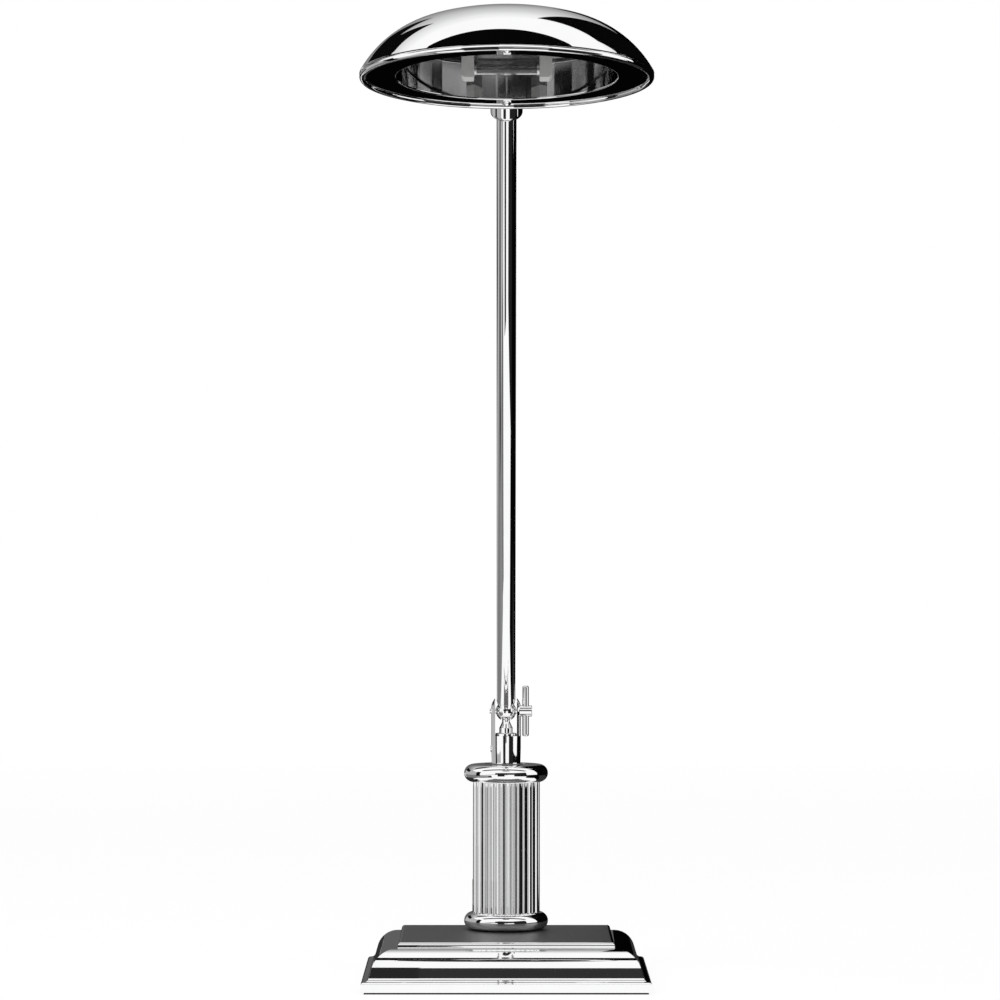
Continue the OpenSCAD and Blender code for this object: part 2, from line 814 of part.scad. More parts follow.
module pivot_pin() {
    color([0.8, 0.81, 0.82])
    translate([0, 0, pivot_z])
        x_bar(pin_diameter / 2, -stem_diameter / 2 - pin_proud, -pin_inner);
}

module stem_lead() {
    color([0.1, 0.1, 0.1])
    translate([0, 0, lead_floor])
        cylinder(r = lead_diameter / 2, h = nipple_top - lead_floor, $fn = 48);
}

module clamp_screw() {
    color([0.76, 0.77, 0.79])
    translate([0, 0, pivot_z])
    difference() {
        union() {
            x_bar(hub_diameter / 2, hub_seat, hub_end);
            x_bar(clamp_shank / 2, pin_inner, hub_seat + cut);
        }
        translate([bar_offset, 0, -hub_diameter])
            cylinder(r = bar_diameter / 2 + fit, h = 2 * hub_diameter, $fn = 64);
    }
}

module cross_bar() {
    color([0.76, 0.77, 0.79])
    translate([bar_offset, 0, pivot_z]) {
        translate([0, 0, -bar_length / 2 + 0.7])
            cylinder(r = bar_diameter / 2, h = bar_length - 1.4, $fn = 64);
        for (side = [0, 1])
            mirror([0, 0, side])
                translate([0, 0, bar_length / 2 - 0.7])
                    cylinder(r1 = bar_diameter / 2, r2 = bar_diameter / 2 - 0.7, h = 0.7, $fn = 64);
    }
}

// ---------- arm ----------

// outline of the lead slot in the ball, seen along the pivot with up the arm
module ball_slot_outline() {
    reach = ball_radius + 1;
    half = ball_slot_width / 2;
    rotate(-arm_lean) {
        rotate(-slot_forward) translate([-half, -reach]) square([ball_slot_width, reach]);
        rotate(slot_backward) translate([-half, -reach]) square([ball_slot_width, reach]);
        polygon([[0, 0], [-reach * sin(slot_forward), -reach * cos(slot_forward)],
                 [0, -reach], [reach * sin(slot_backward), -reach * cos(slot_backward)]]);
    }
}

module knuckle_ball() {
    color([0.78, 0.79, 0.8])
    arm_frame()
    difference() {
        union() {
            sphere(r = ball_radius, $fn = 128);
            cylinder(r = arm_bore / 2 - fit, h = arm_start + arm_spigot, $fn = 96);
            translate([0, 0, arm_start - face_length - 0.5])
                cylinder(r = arm_diameter / 2 - 0.4, h = face_length + 0.5, $fn = 96);
        }
        difference() {
            translate([-ball_slot_width / 2, 0, 0])
                rotate([90, 0, 90]) linear_extrude(height = ball_slot_width) ball_slot_outline();
            x_bar(ball_core / 2, -ball_slot_width, ball_slot_width);
        }
        x_bar(pin_diameter / 2 + run_fit, -ball_diameter, -pin_inner + 0.1);
        x_bar(clamp_shank / 2 + run_fit, pin_inner - 0.1, ball_diameter);
        translate([0, 0, -ball_radius])
            cylinder(r = lead_diameter / 2 + play, h = ball_radius + arm_start + arm_spigot + cut, $fn = 64);
    }
}

module arm_tube() {
    color([0.76, 0.77, 0.79])
    arm_frame()
    difference() {
        translate([0, 0, arm_start]) cylinder(r = arm_diameter / 2, h = tube_end - arm_start, $fn = 128);
        translate([0, 0, arm_start - cut])
            cylinder(r = arm_bore / 2, h = tube_end - arm_start + 2 * cut, $fn = 96);
    }
}

module top_cup() {
    color([0.76, 0.77, 0.79])
    arm_frame()
    difference() {
        translate([0, 0, cup_base])
            rotate_extrude($fn = 128)
                union() {
                    square([cup_diameter / 2 - cup_round, cup_length]);
                    translate([0, cup_round]) square([cup_diameter / 2, cup_length - cup_round]);
                    translate([cup_diameter / 2 - cup_round, cup_round]) circle(r = cup_round, $fn = 64);
                }
        translate([0, 0, cup_base - cut])
            cylinder(r = arm_diameter / 2 + fit, h = cup_seat - cup_base + cut, $fn = 128);
        translate([0, 0, cup_seat - cut])
            cylinder(r = post_spigot / 2 + run_fit, h = cup_web - cup_seat + 2 * cut, $fn = 64);
        translate([0, 0, cup_web])
            cylinder(r = post_flange_diameter / 2 + play, h = cup_length, $fn = 128);
    }
}

module arm_lead() {
    color([0.1, 0.1, 0.1])
    arm_frame()
        translate([0, 0, -pin_inner + 0.3])
            cylinder(r = lead_diameter / 2, h = post_end - 0.5 + pin_inner - 0.3, $fn = 48);
}

// ---------- swivel post ----------

module swivel_post() {
    color([0.74, 0.75, 0.77])
    arm_frame()
    difference() {
        union() {
            translate([0, 0, post_end])
                cylinder(r = post_spigot / 2, h = cup_web - post_end + cut, $fn = 64);
            translate([0, 0, cup_web])
                cylinder(r = post_flange_diameter / 2, h = 3, $fn = 128);
            translate([0, 0, cup_web])
                cylinder(r = post_neck / 2, h = neck_top - cup_web, $fn = 96);
            translate([-eye_thickness / 2, -4, neck_top - 2])
                cube([eye_thickness, 8, arm_length - neck_top + 2]);
            translate([0, 0, arm_length])
                x_bar(eye_diameter / 2, -eye_thickness / 2, eye_thickness / 2);
        }
        translate([0, 0, arm_length])
            x_bar(hinge_pin_diameter / 2 + run_fit, -eye_thickness, eye_thickness);
        translate([0, 0, post_end - cut])
            cylinder(r = 1.8, h = cup_web + 9 - post_end, $fn = 48);
        translate([0, 0, cup_web + 7])
            rotate([90, 0, 0]) cylinder(r = 1.8, h = post_neck, $fn = 48);
    }
}

module post_nut() {
    color([0.6, 0.6, 0.62])
    arm_frame()
    difference() {
        translate([0, 0, post_nut_top - post_nut_height])
            cylinder(r = post_nut_flats / 2 / cos(30), h = post_nut_height, $fn = 6);
        translate([0, 0, post_nut_top - post_nut_height - cut])
            cylinder(r = post_spigot / 2 + fit, h = post_nut_height + 2 * cut, $fn = 64);
    }
}

module post_washer_ring() {
    color([0.72, 0.62, 0.35])
    arm_frame()
    difference() {
        translate([0, 0, post_nut_top]) cylinder(r = arm_bore / 2 - 0.4, h = post_washer, $fn = 64);
        translate([0, 0, post_nut_top - cut])
            cylinder(r = post_spigot / 2 + fit, h = post_washer + 2 * cut, $fn = 64);
    }
}

// ---------- shade ----------

// outline of the space under the dome, drawn back from its outside by a step
module dome_outline(step) {
    intersection() {
        union() {
            translate([shoulder_r, shoulder_z]) circle(r = shoulder_radius - step, $fn = 360);
            intersection() {
                translate([0, crown_z_centre]) circle(r = crown_radius - step, $fn = 720);
                polygon([[0, crown_z_centre],
                         [shoulder_r * 4, crown_z_centre + 4 * (shoulder_z - crown_z_centre)],
                         [0, crown_z_centre + 4 * (shoulder_z - crown_z_centre)]]);
            }
        }
        translate([0, dome_base]) square([big, big]);
    }
}

module dome_space(step) {
    rotate_extrude($fn = 240) dome_outline(step);
}

module shade_dome() {
    color([0.8, 0.81, 0.82])
    shade_frame()
    difference() {
        rotate_extrude($fn = 240)
            difference() {
                dome_outline(0);
                dome_outline(dome_wall);
            }
        stud_frame() translate([0, 0, -5]) cylinder(r = stud_diameter / 2 + fit, h = 10, $fn = 64);
    }
}

module rim_bead() {
    color([0.8, 0.81, 0.82])
    shade_frame()
    rotate_extrude($fn = 240)
        translate([rim_radius - bead_radius, bead_radius]) circle(r = bead_radius, $fn = 48);
}

module reflector_pan() {
    color([0.85, 0.85, 0.86])
    shade_frame()
    difference() {
        rotate_extrude($fn = 240)
            union() {
                translate([recess_radius, flange_height]) square([pan_edge - recess_radius, pan_wall]);
                translate([recess_radius, flange_height])
                    square([pan_wall, ceiling_top - flange_height]);
                translate([0, recess_height]) square([recess_radius + pan_wall, pan_wall]);
            }
        for (y = [-rim_screw_radius, rim_screw_radius])
            translate([0, y, 0]) cylinder(r = rim_screw_shank / 2 + fit, h = flange_top + cut, $fn = 48);
        at_holder_screws()
            translate([0, 0, recess_height - cut]) cylinder(r = 1.25 + fit, h = pan_wall + 2 * cut, $fn = 32);
        contact_slots();
    }
}

module mounting_block() {
    color([0.5, 0.5, 0.52])
    shade_frame()
    difference() {
        intersection() {
            translate([-block_width / 2, block_inner, flange_top])
                cube([block_width, block_outer - block_inner, recess_height]);
            union() {
                dome_space(dome_wall + fit);
                cylinder(r = rim_radius - 3, h = dome_base + 1, $fn = 240);
            }
        }
        translate([0, rim_screw_radius, 0])
            cylinder(r = rim_screw_shank / 2 + fit, h = flange_height + rim_screw_depth + cut, $fn = 48);
        stud_frame()
            translate([0, 0, -stud_length - cut])
                cylinder(r = stud_diameter / 2 + fit, h = stud_length + 10, $fn = 64);
    }
}

module front_pillar() {
    color([0.5, 0.5, 0.52])
    shade_frame()
    difference() {
        intersection() {
            translate([0, -rim_screw_radius, flange_top]) cylinder(r = 4, h = recess_height, $fn = 64);
            union() {
                dome_space(dome_wall + fit);
                cylinder(r = rim_radius - 3, h = dome_base + 1, $fn = 240);
            }
        }
        translate([0, -rim_screw_radius, 0])
            cylinder(r = rim_screw_shank / 2 + fit, h = flange_height + rim_screw_depth + cut, $fn = 48);
    }
}

module rim_screws() {
    head_height = flange_height - 0.1;
    head_radius = rim_screw_head / 2;
    ball = (head_radius * head_radius + head_height * head_height) / 2 / head_height;
    color([0.78, 0.79, 0.8])
    shade_frame()
    for (y = [-rim_screw_radius, rim_screw_radius])
        translate([0, y, 0])
            difference() {
                union() {
                    intersection() {
                        translate([0, 0, flange_height - head_height + ball]) sphere(r = ball, $fn = 96);
                        translate([0, 0, 0]) cylinder(r = rim_screw_head, h = flange_height, $fn = 48);
                    }
                    translate([0, 0, flange_height - cut])
                        cylinder(r = rim_screw_shank / 2, h = rim_screw_depth + cut, $fn = 48);
                }
                translate([-0.4, -rim_screw_head, 0]) cube([0.8, 2 * rim_screw_head, 0.9]);
            }
}

module shade_bracket() {
    block = bracket_reach - 7.5;
    color([0.74, 0.75, 0.77])
    shade_frame() stud_frame()
    difference() {
        union() {
            translate([0, 0, -stud_length])
                cylinder(r = stud_diameter / 2, h = stud_length + washer_seat + cut, $fn = 64);
            translate([0, 0, washer_seat]) cylinder(r = 7, h = 2, $fn = 96);
            translate([0, 0, washer_seat]) cylinder(r = 4, h = block - washer_seat - 1, $fn = 64);
            translate([-eye_thickness / 2 - cheek_thickness, -4, block - 3.4])
                cube([eye_thickness + 2 * cheek_thickness, 8, 3.4]);
            for (side = [0, 1])
                mirror([side, 0, 0]) {
                    translate([eye_thickness / 2 + run_fit, -4, block - cut])
                        cube([cheek_thickness - run_fit, 8, bracket_reach - block + cut]);
                    translate([0, 0, bracket_reach])
                        x_bar(eye_diameter / 2, eye_thickness / 2 + run_fit,
                              eye_thickness / 2 + cheek_thickness);
                }
        }
        translate([0, 0, bracket_reach])
            x_bar(hinge_pin_diameter / 2 + fit, -eye_diameter, eye_diameter);
    }
}

module bracket_washer() {
    color([0.6, 0.6, 0.62])
    shade_frame() stud_frame()
    difference() {
        cylinder(r = 7.5, h = washer_seat, $fn = 96);
        translate([0, 0, -cut]) cylinder(r = stud_diameter / 2 + fit, h = washer_seat + 2 * cut, $fn = 64);
    }
}

module hinge_pin() {
    cheek = eye_thickness / 2 + cheek_thickness;
    color([0.76, 0.77, 0.79])
    shade_frame() stud_frame() translate([0, 0, bracket_reach])
    difference() {
        union() {
            x_bar(hinge_pin_diameter / 2, -cheek, cheek + 3.4);
            x_bar(4, -cheek - 2, -cheek);
        }
        translate([-cheek - 2.5, -0.5, -5]) cube([1.3, 1, 10]);
    }
}

module hinge_nut() {
    cheek = eye_thickness / 2 + cheek_thickness;
    color([0.76, 0.77, 0.79])
    shade_frame() stud_frame() translate([cheek, 0, bracket_reach])
    difference() {
        rotate([0, 90, 0]) cylinder(r = 4.6, h = 3, $fn = 6);
        x_bar(hinge_pin_diameter / 2 + fit, -cut, 3 + cut);
    }
}

// ---------- lamp and holders ----------

module at_holder_screws() {
    for (x = [-holder_screw_x, holder_screw_x], y = [-holder_screw_y, holder_screw_y])
        translate([x, y, 0]) children();
}

module contact_slots() {
    for (side = [0, 1])
        mirror([side, 0, 0])
            translate([contact_in - 0.2, -tail_width / 2 - play, lamp_height])
                cube([contact_thickness + 0.4, tail_width + 2 * play, recess_height]);
}

module holder_strap() {
    color([0.55, 0.55, 0.57])
    shade_frame()
    difference() {
        translate([-strap_length / 2, -strap_width / 2, ceiling_top])
            cube([strap_length, strap_width, strap_thickness]);
        at_holder_screws()
            translate([0, 0, ceiling_top - cut])
                cylinder(r = 1.25 + fit, h = strap_thickness + 2 * cut, $fn = 32);
        contact_slots();
    }
}

module holder_screws() {
    color([0.6, 0.6, 0.62])
    shade_frame()
    at_holder_screws() {
        translate([0, 0, strap_top]) cylinder(r = 2.2, h = 1.4, $fn = 32);
        translate([0, 0, strap_top - 9]) cylinder(r = 1.25, h = 9.2, $fn = 32);
    }
}

module lampholder() {
    difference() {
        translate([0, holder_depth / 2, 0]) rotate([90, 0, 0])
            linear_extrude(height = holder_depth)
                polygon([[holder_in, holder_foot], [holder_out - 3, holder_foot],
                         [holder_out, holder_foot + 3], [holder_out, recess_height],
                         [holder_in, recess_height]]);
        translate([0, 0, lamp_height])
            x_bar(socket_radius, holder_in - cut, contact_in + contact_thickness);
        contact_slots();
        at_holder_screws()
            translate([0, 0, strap_top - 9.2]) cylinder(r = 1.25 + fit, h = 20, $fn = 32);
    }
}

module right_lampholder() {
    color([0.82, 0.82, 0.8])
    shade_frame() lampholder();
}

module left_lampholder() {
    color([0.82, 0.82, 0.8])
    shade_frame() mirror([1, 0, 0]) lampholder();
}

module contact_springs() {
    color([0.8, 0.68, 0.36])
    shade_frame()
    for (side = [0, 1])
        mirror([side, 0, 0])
            union() {
                translate([0, 0, lamp_height]) x_bar(4, contact_in, contact_in + contact_thickness);
                translate([contact_in, -tail_width / 2, lamp_height])
                    cube([contact_thickness, tail_width, strap_top + 3 - lamp_height]);
            }
}

module lamp_glass() {
    color([0.9, 0.93, 0.95, 0.5])
    shade_frame() translate([0, 0, lamp_height])
    difference() {
        x_bar(glass_diameter / 2, -glass_end, glass_end);
        x_bar(glass_diameter / 2 - 0.7, -glass_end - cut, glass_end + cut);
    }
}

module lamp_caps() {
    color([0.75, 0.76, 0.78])
    shade_frame() translate([0, 0, lamp_height])
    for (side = [0, 1])
        mirror([side, 0, 0])
            difference() {
                union() {
                    x_bar(cap_diameter / 2, cap_face, cap_ring_end);
                    x_bar(socket_radius - play, cap_face, holder_in + 3.4);
                    translate([holder_in + 3.4, 0, 0]) rotate([0, 90, 0])
                        cylinder(r1 = socket_radius - play, r2 = 1.5, h = contact_in - holder_in - 3.4,
                                 $fn = 64);
                }
                x_bar(glass_diameter / 2 + fit, cap_face - cut, glass_end);
            }
}

module filament() {
    color([0.4, 0.4, 0.42])
    shade_frame() translate([0, 0, lamp_height]) {
        x_bar(0.3, -glass_end, glass_end);
        for (i = [-2.5 : 1 : 2.5])
            x_bar(0.65, i * 5.8 - 1.7, i * 5.8 + 1.7);
    }
}
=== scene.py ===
"""Looks of a column desk lamp, modelled on its CAD frame.

The lamp has a moulded base, a fluted column between two ring collars, a slotted stem
with a clamp, one arm and a shallow domed shade with a tubular lamp under it. Everything
is in metres in the frame of the CAD model. Outlines are written in millimetres.
"""

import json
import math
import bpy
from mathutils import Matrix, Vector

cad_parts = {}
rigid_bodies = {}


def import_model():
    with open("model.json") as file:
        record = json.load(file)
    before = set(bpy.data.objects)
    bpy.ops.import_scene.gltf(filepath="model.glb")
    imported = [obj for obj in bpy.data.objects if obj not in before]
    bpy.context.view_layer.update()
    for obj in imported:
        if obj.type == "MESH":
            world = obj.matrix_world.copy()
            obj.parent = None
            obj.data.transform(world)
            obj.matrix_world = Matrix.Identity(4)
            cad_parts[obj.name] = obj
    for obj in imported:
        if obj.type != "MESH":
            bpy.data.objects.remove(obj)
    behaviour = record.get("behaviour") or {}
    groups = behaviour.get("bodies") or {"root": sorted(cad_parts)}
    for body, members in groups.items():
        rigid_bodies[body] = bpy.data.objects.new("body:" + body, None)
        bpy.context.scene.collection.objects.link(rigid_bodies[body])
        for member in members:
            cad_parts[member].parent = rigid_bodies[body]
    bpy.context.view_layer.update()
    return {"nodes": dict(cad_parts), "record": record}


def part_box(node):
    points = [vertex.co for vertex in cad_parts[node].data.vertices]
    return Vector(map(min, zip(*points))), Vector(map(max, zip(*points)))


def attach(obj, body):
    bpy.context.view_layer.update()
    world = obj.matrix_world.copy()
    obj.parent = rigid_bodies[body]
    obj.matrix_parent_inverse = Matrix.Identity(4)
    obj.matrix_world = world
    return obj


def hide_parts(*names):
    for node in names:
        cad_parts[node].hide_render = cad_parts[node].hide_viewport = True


bl_info = {
    "name": "Column Desk Lamp",
    "version": (1, 0, 0),
    "blender": (4, 5, 0),
    "location": "View3D > Sidebar > Desk Lamp",
    "description": "Models the visible pieces, finishes and studio of a column desk lamp",
    "category": "Object",
}

import bpy
from mathutils import Matrix, Vector

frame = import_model()

MM = 0.001
MERGE = 1e-6
BASE_LOW, BASE_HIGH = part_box("base_shell")
COLUMN_LOW, COLUMN_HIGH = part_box("fluted_column")
STEM_LOW, STEM_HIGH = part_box("clevis_stem")

# levels and places, in millimetres, as in the CAD source
BASE_FLOOR = 1.2
BASE_TOP = 30.7
LOWER_RING_TOP = 42.2
UPPER_RING_BASE = 127.4
UPPER_RING_TOP = 138.9
STEM_FLOOR = 139.2
SLOT_FLOOR = 157.6
PIVOT = 173.7
HUB_START = 8.4
BAR_PLACE = 12.8
CROWN = 175.6
INLET = 14.0
ARM_LEAN = 31.0
ARM_LENGTH = 472.1
SHADE_TURN = -37.3
SHADE_PIVOT = (0.0, 88.64, 32.36)
SHOULDER = (29.88, -26.4)
CROWN_CENTRE = -128.83
STUD = (0.0, 74.85, 18.57)
LAMP_HEIGHT = 8.3
REFLECTOR_ROOF = 22.8

# CAD pieces that show another finish than their slot's, and the slot of a finish without one
SEEN_FINISH = {
    "thrust_washer": "inner_steel",
    "stem_bearing": "inner_steel",
    "rim_screws": "dome_chrome",
}


def shift(x, y, z):
    """A move by millimetres."""
    return Matrix.Translation((x * MM, y * MM, z * MM))


def turn(degrees, axis):
    """A turn about one axis."""
    return Matrix.Rotation(math.radians(degrees), 4, axis)


ARM = shift(0, 0, PIVOT) @ turn(ARM_LEAN, "X")
SHADE = (
    ARM @ shift(0, 0, ARM_LENGTH) @ turn(SHADE_TURN, "X") @ shift(0, -SHADE_PIVOT[1], -SHADE_PIVOT[2])
)
ALONG_X = turn(90, "Y")


# ---------- sizes and colours ----------


def length(name, description, default):
    """A size in metres that a user may change."""
    return bpy.props.FloatProperty(
        name=name, description=description, default=default, min=0.0001, unit="LENGTH", precision=4
    )


def colour(name, description, default):
    """A colour that a user may change."""
    return bpy.props.FloatVectorProperty(
        name=name, description=description, default=default, min=0, max=1, size=3, subtype="COLOR"
    )


class LampSizes(bpy.types.PropertyGroup):
    """Sizes of the pieces that are modelled here."""

    base_width: length("Base width", "Width of the base over its plinth", BASE_HIGH.x - BASE_LOW.x)
    base_depth: length("Base depth", "Depth of the base over its plinth", BASE_HIGH.y - BASE_LOW.y)
    round_radius: length("Round radius", "Radius of the big round of the moulding", 0.0158)
    cove_radius: length("Cove radius", "Radius of the cove at the foot of the moulding", 0.0032)
    slab_round: length("Slab round", "Radius of the rounded edge of the top slab", 0.0023)
    soft_edge: length("Soft edge", "Width of the softened edges of cast and milled pieces", 0.00025)
    ring_diameter: length("Ring diameter", "Diameter of the two ring collars", 0.055)
    column_diameter: length(
        "Column diameter", "Diameter over the ridges of the column", COLUMN_HIGH.x - COLUMN_LOW.x
    )
    column_bore: length("Column bore", "Bore of the fluted column", 0.030)
    flute_count: bpy.props.IntProperty(
        name="Flutes", description="Number of flutes round the column", default=36, min=12, max=48
    )
    flute_radius: length("Flute radius", "Radius of one flute", 0.00175)
    flute_offset: length("Flute offset", "Distance of a flute's centre from the surface", 0.00035)
    stem_diameter: length("Stem diameter", "Diameter of the slotted stem", STEM_HIGH.x - STEM_LOW.x)
    slot_width: length("Slot width", "Width of the slot in the stem", 0.0143)
    hub_diameter: length("Hub diameter", "Diameter of the hub of the clamp screw", 0.0072)
    bar_diameter: length("Bar diameter", "Diameter of the cross bar", 0.0044)
    bar_length: length("Bar length", "Length of the cross bar", 0.0331)
    arm_diameter: length("Arm diameter", "Outer diameter of the arm tube", 0.0122)
    arm_bore: length("Arm bore", "Bore of the arm tube", 0.010)
    cup_diameter: length("Cup diameter", "Diameter of the cup at the top of the arm", 0.0196)
    shoulder_radius: length("Shoulder radius", "Radius of the shoulder of the dome", 0.0636)
    crown_radius: length("Crown radius", "Radius of the shallow crown of the dome", 0.1703)
    dome_wall: length("Dome wall", "Thickness of the dome", 0.0012)
    rim_radius: length("Rim radius", "Radius of the shade over its rolled rim", 0.0858)
    bead_diameter: length("Bead diameter", "Diameter of the rolled rim", 0.0039)
    recess_radius: length("Recess radius", "Radius of the recess of the reflector pan", 0.0643)
    recess_height: length("Recess height", "Height of the recess above the rim", 0.02395)
    holder_depth: length("Holder depth", "Depth of a lamp holder, front to back", 0.013)
    holder_round: length("Holder round", "Radius of the lower corner of a holder", 0.0024)
    glass_diameter: length("Glass diameter", "Diameter of the glass tube", 0.0097)
    coil_diameter: length("Coil diameter", "Diameter of the coiled parts of the filament", 0.0013)
    coil_turns: bpy.props.IntProperty(
        name="Coil turns", description="Turns of wire in each coiled part", default=8, min=3, max=16
    )


class LampColours(bpy.types.PropertyGroup):
    """Colours of the finishes and of the studio."""

    chrome: colour("Chrome", "Bright plating", (0.97, 0.972, 0.975))
    chrome_haze: colour("Chrome haze", "Plating where it is fingered and hazed", (0.90, 0.905, 0.91))
    # painted shade: the base's flat top gets this dark colour to stand for the dark surround that it
    # mirrors
    painted_shade_top: colour("Satin top", "Satin plating on the flat top of the base", (0.215, 0.215, 0.217))
    reflector: colour("Reflector", "Plating of the pan under the dome", (0.88, 0.88, 0.885))
    holder: colour("Holder", "Pale moulded lamp holders", (0.55, 0.55, 0.54))
    felt: colour("Felt", "Felt under the base", (0.010, 0.010, 0.011))
    brass: colour("Brass", "Plain brass", (0.78, 0.60, 0.30))
    zinc: colour("Zinc", "Zinc plated screws and nuts", (0.62, 0.64, 0.66))
    iron: colour("Iron", "Black painted iron", (0.035, 0.035, 0.037))
    rubber: colour("Rubber", "Black rubber", (0.018, 0.018, 0.018))
    floor: colour("Floor", "Pale studio floor", (0.86, 0.86, 0.86))


# ---------- modelling ----------


def deselect():
    """Leaves edit mode and deselects everything."""
    active = bpy.context.view_layer.objects.active
    if active is not None and active.mode != "OBJECT":
        object_mode()
    bpy.ops.object.select_all(action="DESELECT")


def object_mode():
    """Leaves edit mode."""
    bpy.ops.object.mode_set(mode="OBJECT")


def edit_all():
    """Enters edit mode with the whole mesh selected."""
    bpy.ops.object.mode_set(mode="EDIT")
    bpy.ops.mesh.select_mode(type="VERT")
    bpy.ops.mesh.select_all(action="SELECT")


def only(piece):
    """Makes one piece selected and active."""
    deselect()
    piece.select_set(True)
    bpy.context.view_layer.objects.active = piece


def select_where(piece, kind, chosen):
    """Enters edit mode with the vertices or the faces selected that pass the test."""
    only(piece)
    bpy.ops.object.mode_set(mode="EDIT")
    bpy.ops.mesh.select_mode(type=kind)
    bpy.ops.mesh.select_all(action="DESELECT")
    object_mode()
    for part in piece.data.polygons if kind == "FACE" else piece.data.vertices:
        part.select = chosen(part)
    bpy.ops.object.mode_set(mode="EDIT")


def extrude(step):
    """Extrudes what is selected by a step in metres."""
    bpy.ops.mesh.extrude_region_move(TRANSFORM_OT_translate={"value": step})


def widen(x, y, centre=(0, 0, 0)):
    """Resizes what is selected in X and Y about a centre."""
    bpy.ops.transform.resize(value=(x, y, 1), center_override=centre)


def face_outwards():
    """Turns all faces of the mesh outwards and leaves edit mode."""
    bpy.ops.mesh.select_all(action="SELECT")
    bpy.ops.mesh.normals_make_consistent(inside=False)
    object_mode()


def named(name):
    """The active object, with its name and its mesh's name set."""
    piece = bpy.context.view_layer.objects.active
    piece.name = name
    piece.data.name = name
    return piece


def smoothed(piece, degrees=30):
    """Shades a piece smooth up to an angle."""
    only(piece)
    bpy.ops.object.shade_smooth_by_angle(angle=math.radians(degrees))


def placed(piece, place):
    """Moves a piece to its place and keeps the place in its mesh."""
    only(piece)
    piece.matrix_world = place @ piece.matrix_world
    bpy.ops.object.transform_apply()


def modified(piece, kind, **settings):
    """Adds a modifier to a piece and applies it."""
    only(piece)
    modifier = piece.modifiers.new(kind.title(), kind)
    for setting, value in settings.items():
        setattr(modifier, setting, value)
    bpy.ops.object.modifier_apply(modifier=modifier.name)


def cut_away(piece, cutter):
    """Cuts one piece out of another and deletes the cutter."""
    modified(piece, "BOOLEAN", operation="DIFFERENCE", object=cutter, solver="EXACT")
    only(cutter)
    bpy.ops.object.delete()


def edges_softened(piece, width, degrees=32, segments=2):
    """Bevels the sharp edges of a piece."""
    modified(
        piece,
        "BEVEL",
        width=width,
        segments=segments,
        limit_method="ANGLE",
        angle_limit=math.radians(degrees),
        miter_outer="MITER_ARC",
        use_clamp_overlap=True,
    )


def arc(centre, radius, start, end, steps):
    """Points of an arc in the plane of an outline, the angles in degrees from outward, upwards."""
    spread = [math.radians(start + (end - start) * i / steps) for i in range(steps + 1)]
    return [(centre[0] + radius * math.cos(a), centre[1] + radius * math.sin(a)) for a in spread]


def rounded(corners, steps=5):
    """An outline with its corners rounded: a corner's third number is the radius of its round."""
    points = []
    for i, corner in enumerate(corners):
        here = Vector(corner[:2])
        if len(corner) < 3:
            points.append(tuple(here))
            continue
        before = (Vector(corners[i - 1][:2]) - here).normalized()
        after = (Vector(corners[(i + 1) % len(corners)][:2]) - here).normalized()
        half = before.angle(after) / 2
        centre = here + (before + after).normalized() * corner[2] / math.sin(half)
        first = here + before * corner[2] / math.tan(half) - centre
        last = here + after * corner[2] / math.tan(half) - centre
        sweep = first.angle_signed(last)
        for k in range(steps + 1):
            a = -sweep * k / steps
            x = first.x * math.cos(a) - first.y * math.sin(a)
            y = first.x * math.sin(a) + first.y * math.cos(a)
            points.append((centre.x + x, centre.y + y))
    return points


def turned(name, outline, steps=128, place=Matrix.Identity(4)):
    """A piece turned on a lathe: one vertex is extruded along the outline and spun round Z.

    An outline that starts beside the axis is closed to a ring.
    """
    deselect()
    bpy.ops.mesh.primitive_plane_add(size=0.001)
    edit_all()
    bpy.ops.mesh.merge(type="CENTER")
    first = outline[0]
    bpy.ops.transform.translate(value=(first[0] * MM, 0, first[1] * MM))
    path = list(outline) + ([first] if first[0] * MM > MERGE else [])
    for here, following in zip(path, path[1:]):
        extrude(((following[0] - here[0]) * MM, 0, (following[1] - here[1]) * MM))
    bpy.ops.mesh.select_all(action="SELECT")
    bpy.ops.mesh.remove_doubles(threshold=MERGE)
    bpy.ops.mesh.spin(steps=steps, angle=math.tau, center=(0, 0, 0), axis=(0, 0, 1))
    bpy.ops.mesh.select_all(action="SELECT")
    bpy.ops.mesh.remove_doubles(threshold=MERGE)
    face_outwards()
    piece = named(name)
    smoothed(piece)
    placed(piece, place)
    return piece


def rod(name, radius, low, high, place=Matrix.Identity(4), sides=64):
    """A round cutter along Z between two heights."""
    deselect()
    bpy.ops.mesh.primitive_cylinder_add(
        vertices=sides, radius=radius * MM, depth=(high - low) * MM, location=(0, 0, (low + high) / 2 * MM)
    )
    cutter = named(name)
    placed(cutter, place)
    return cutter


def block(name, low, high):
    """A box between two corners."""
    deselect()
    middle = [(a + b) / 2 * MM for a, b in zip(low, high)]
    bpy.ops.mesh.primitive_cube_add(size=1, location=middle)
    piece = named(name)
    piece.scale = [(b - a) * MM for a, b in zip(low, high)]
    bpy.ops.object.transform_apply()
    return piece


def sheet(name, centre, width, depth, tilt=(0, 0, 0)):
    """A flat rectangle in metres, turned by degrees about the three axes."""
    deselect()
    bpy.ops.mesh.primitive_plane_add(size=1, location=centre, rotation=[math.radians(a) for a in tilt])
    piece = named(name)
    piece.scale = (width, depth, 1)
    bpy.ops.object.transform_apply()
    return piece


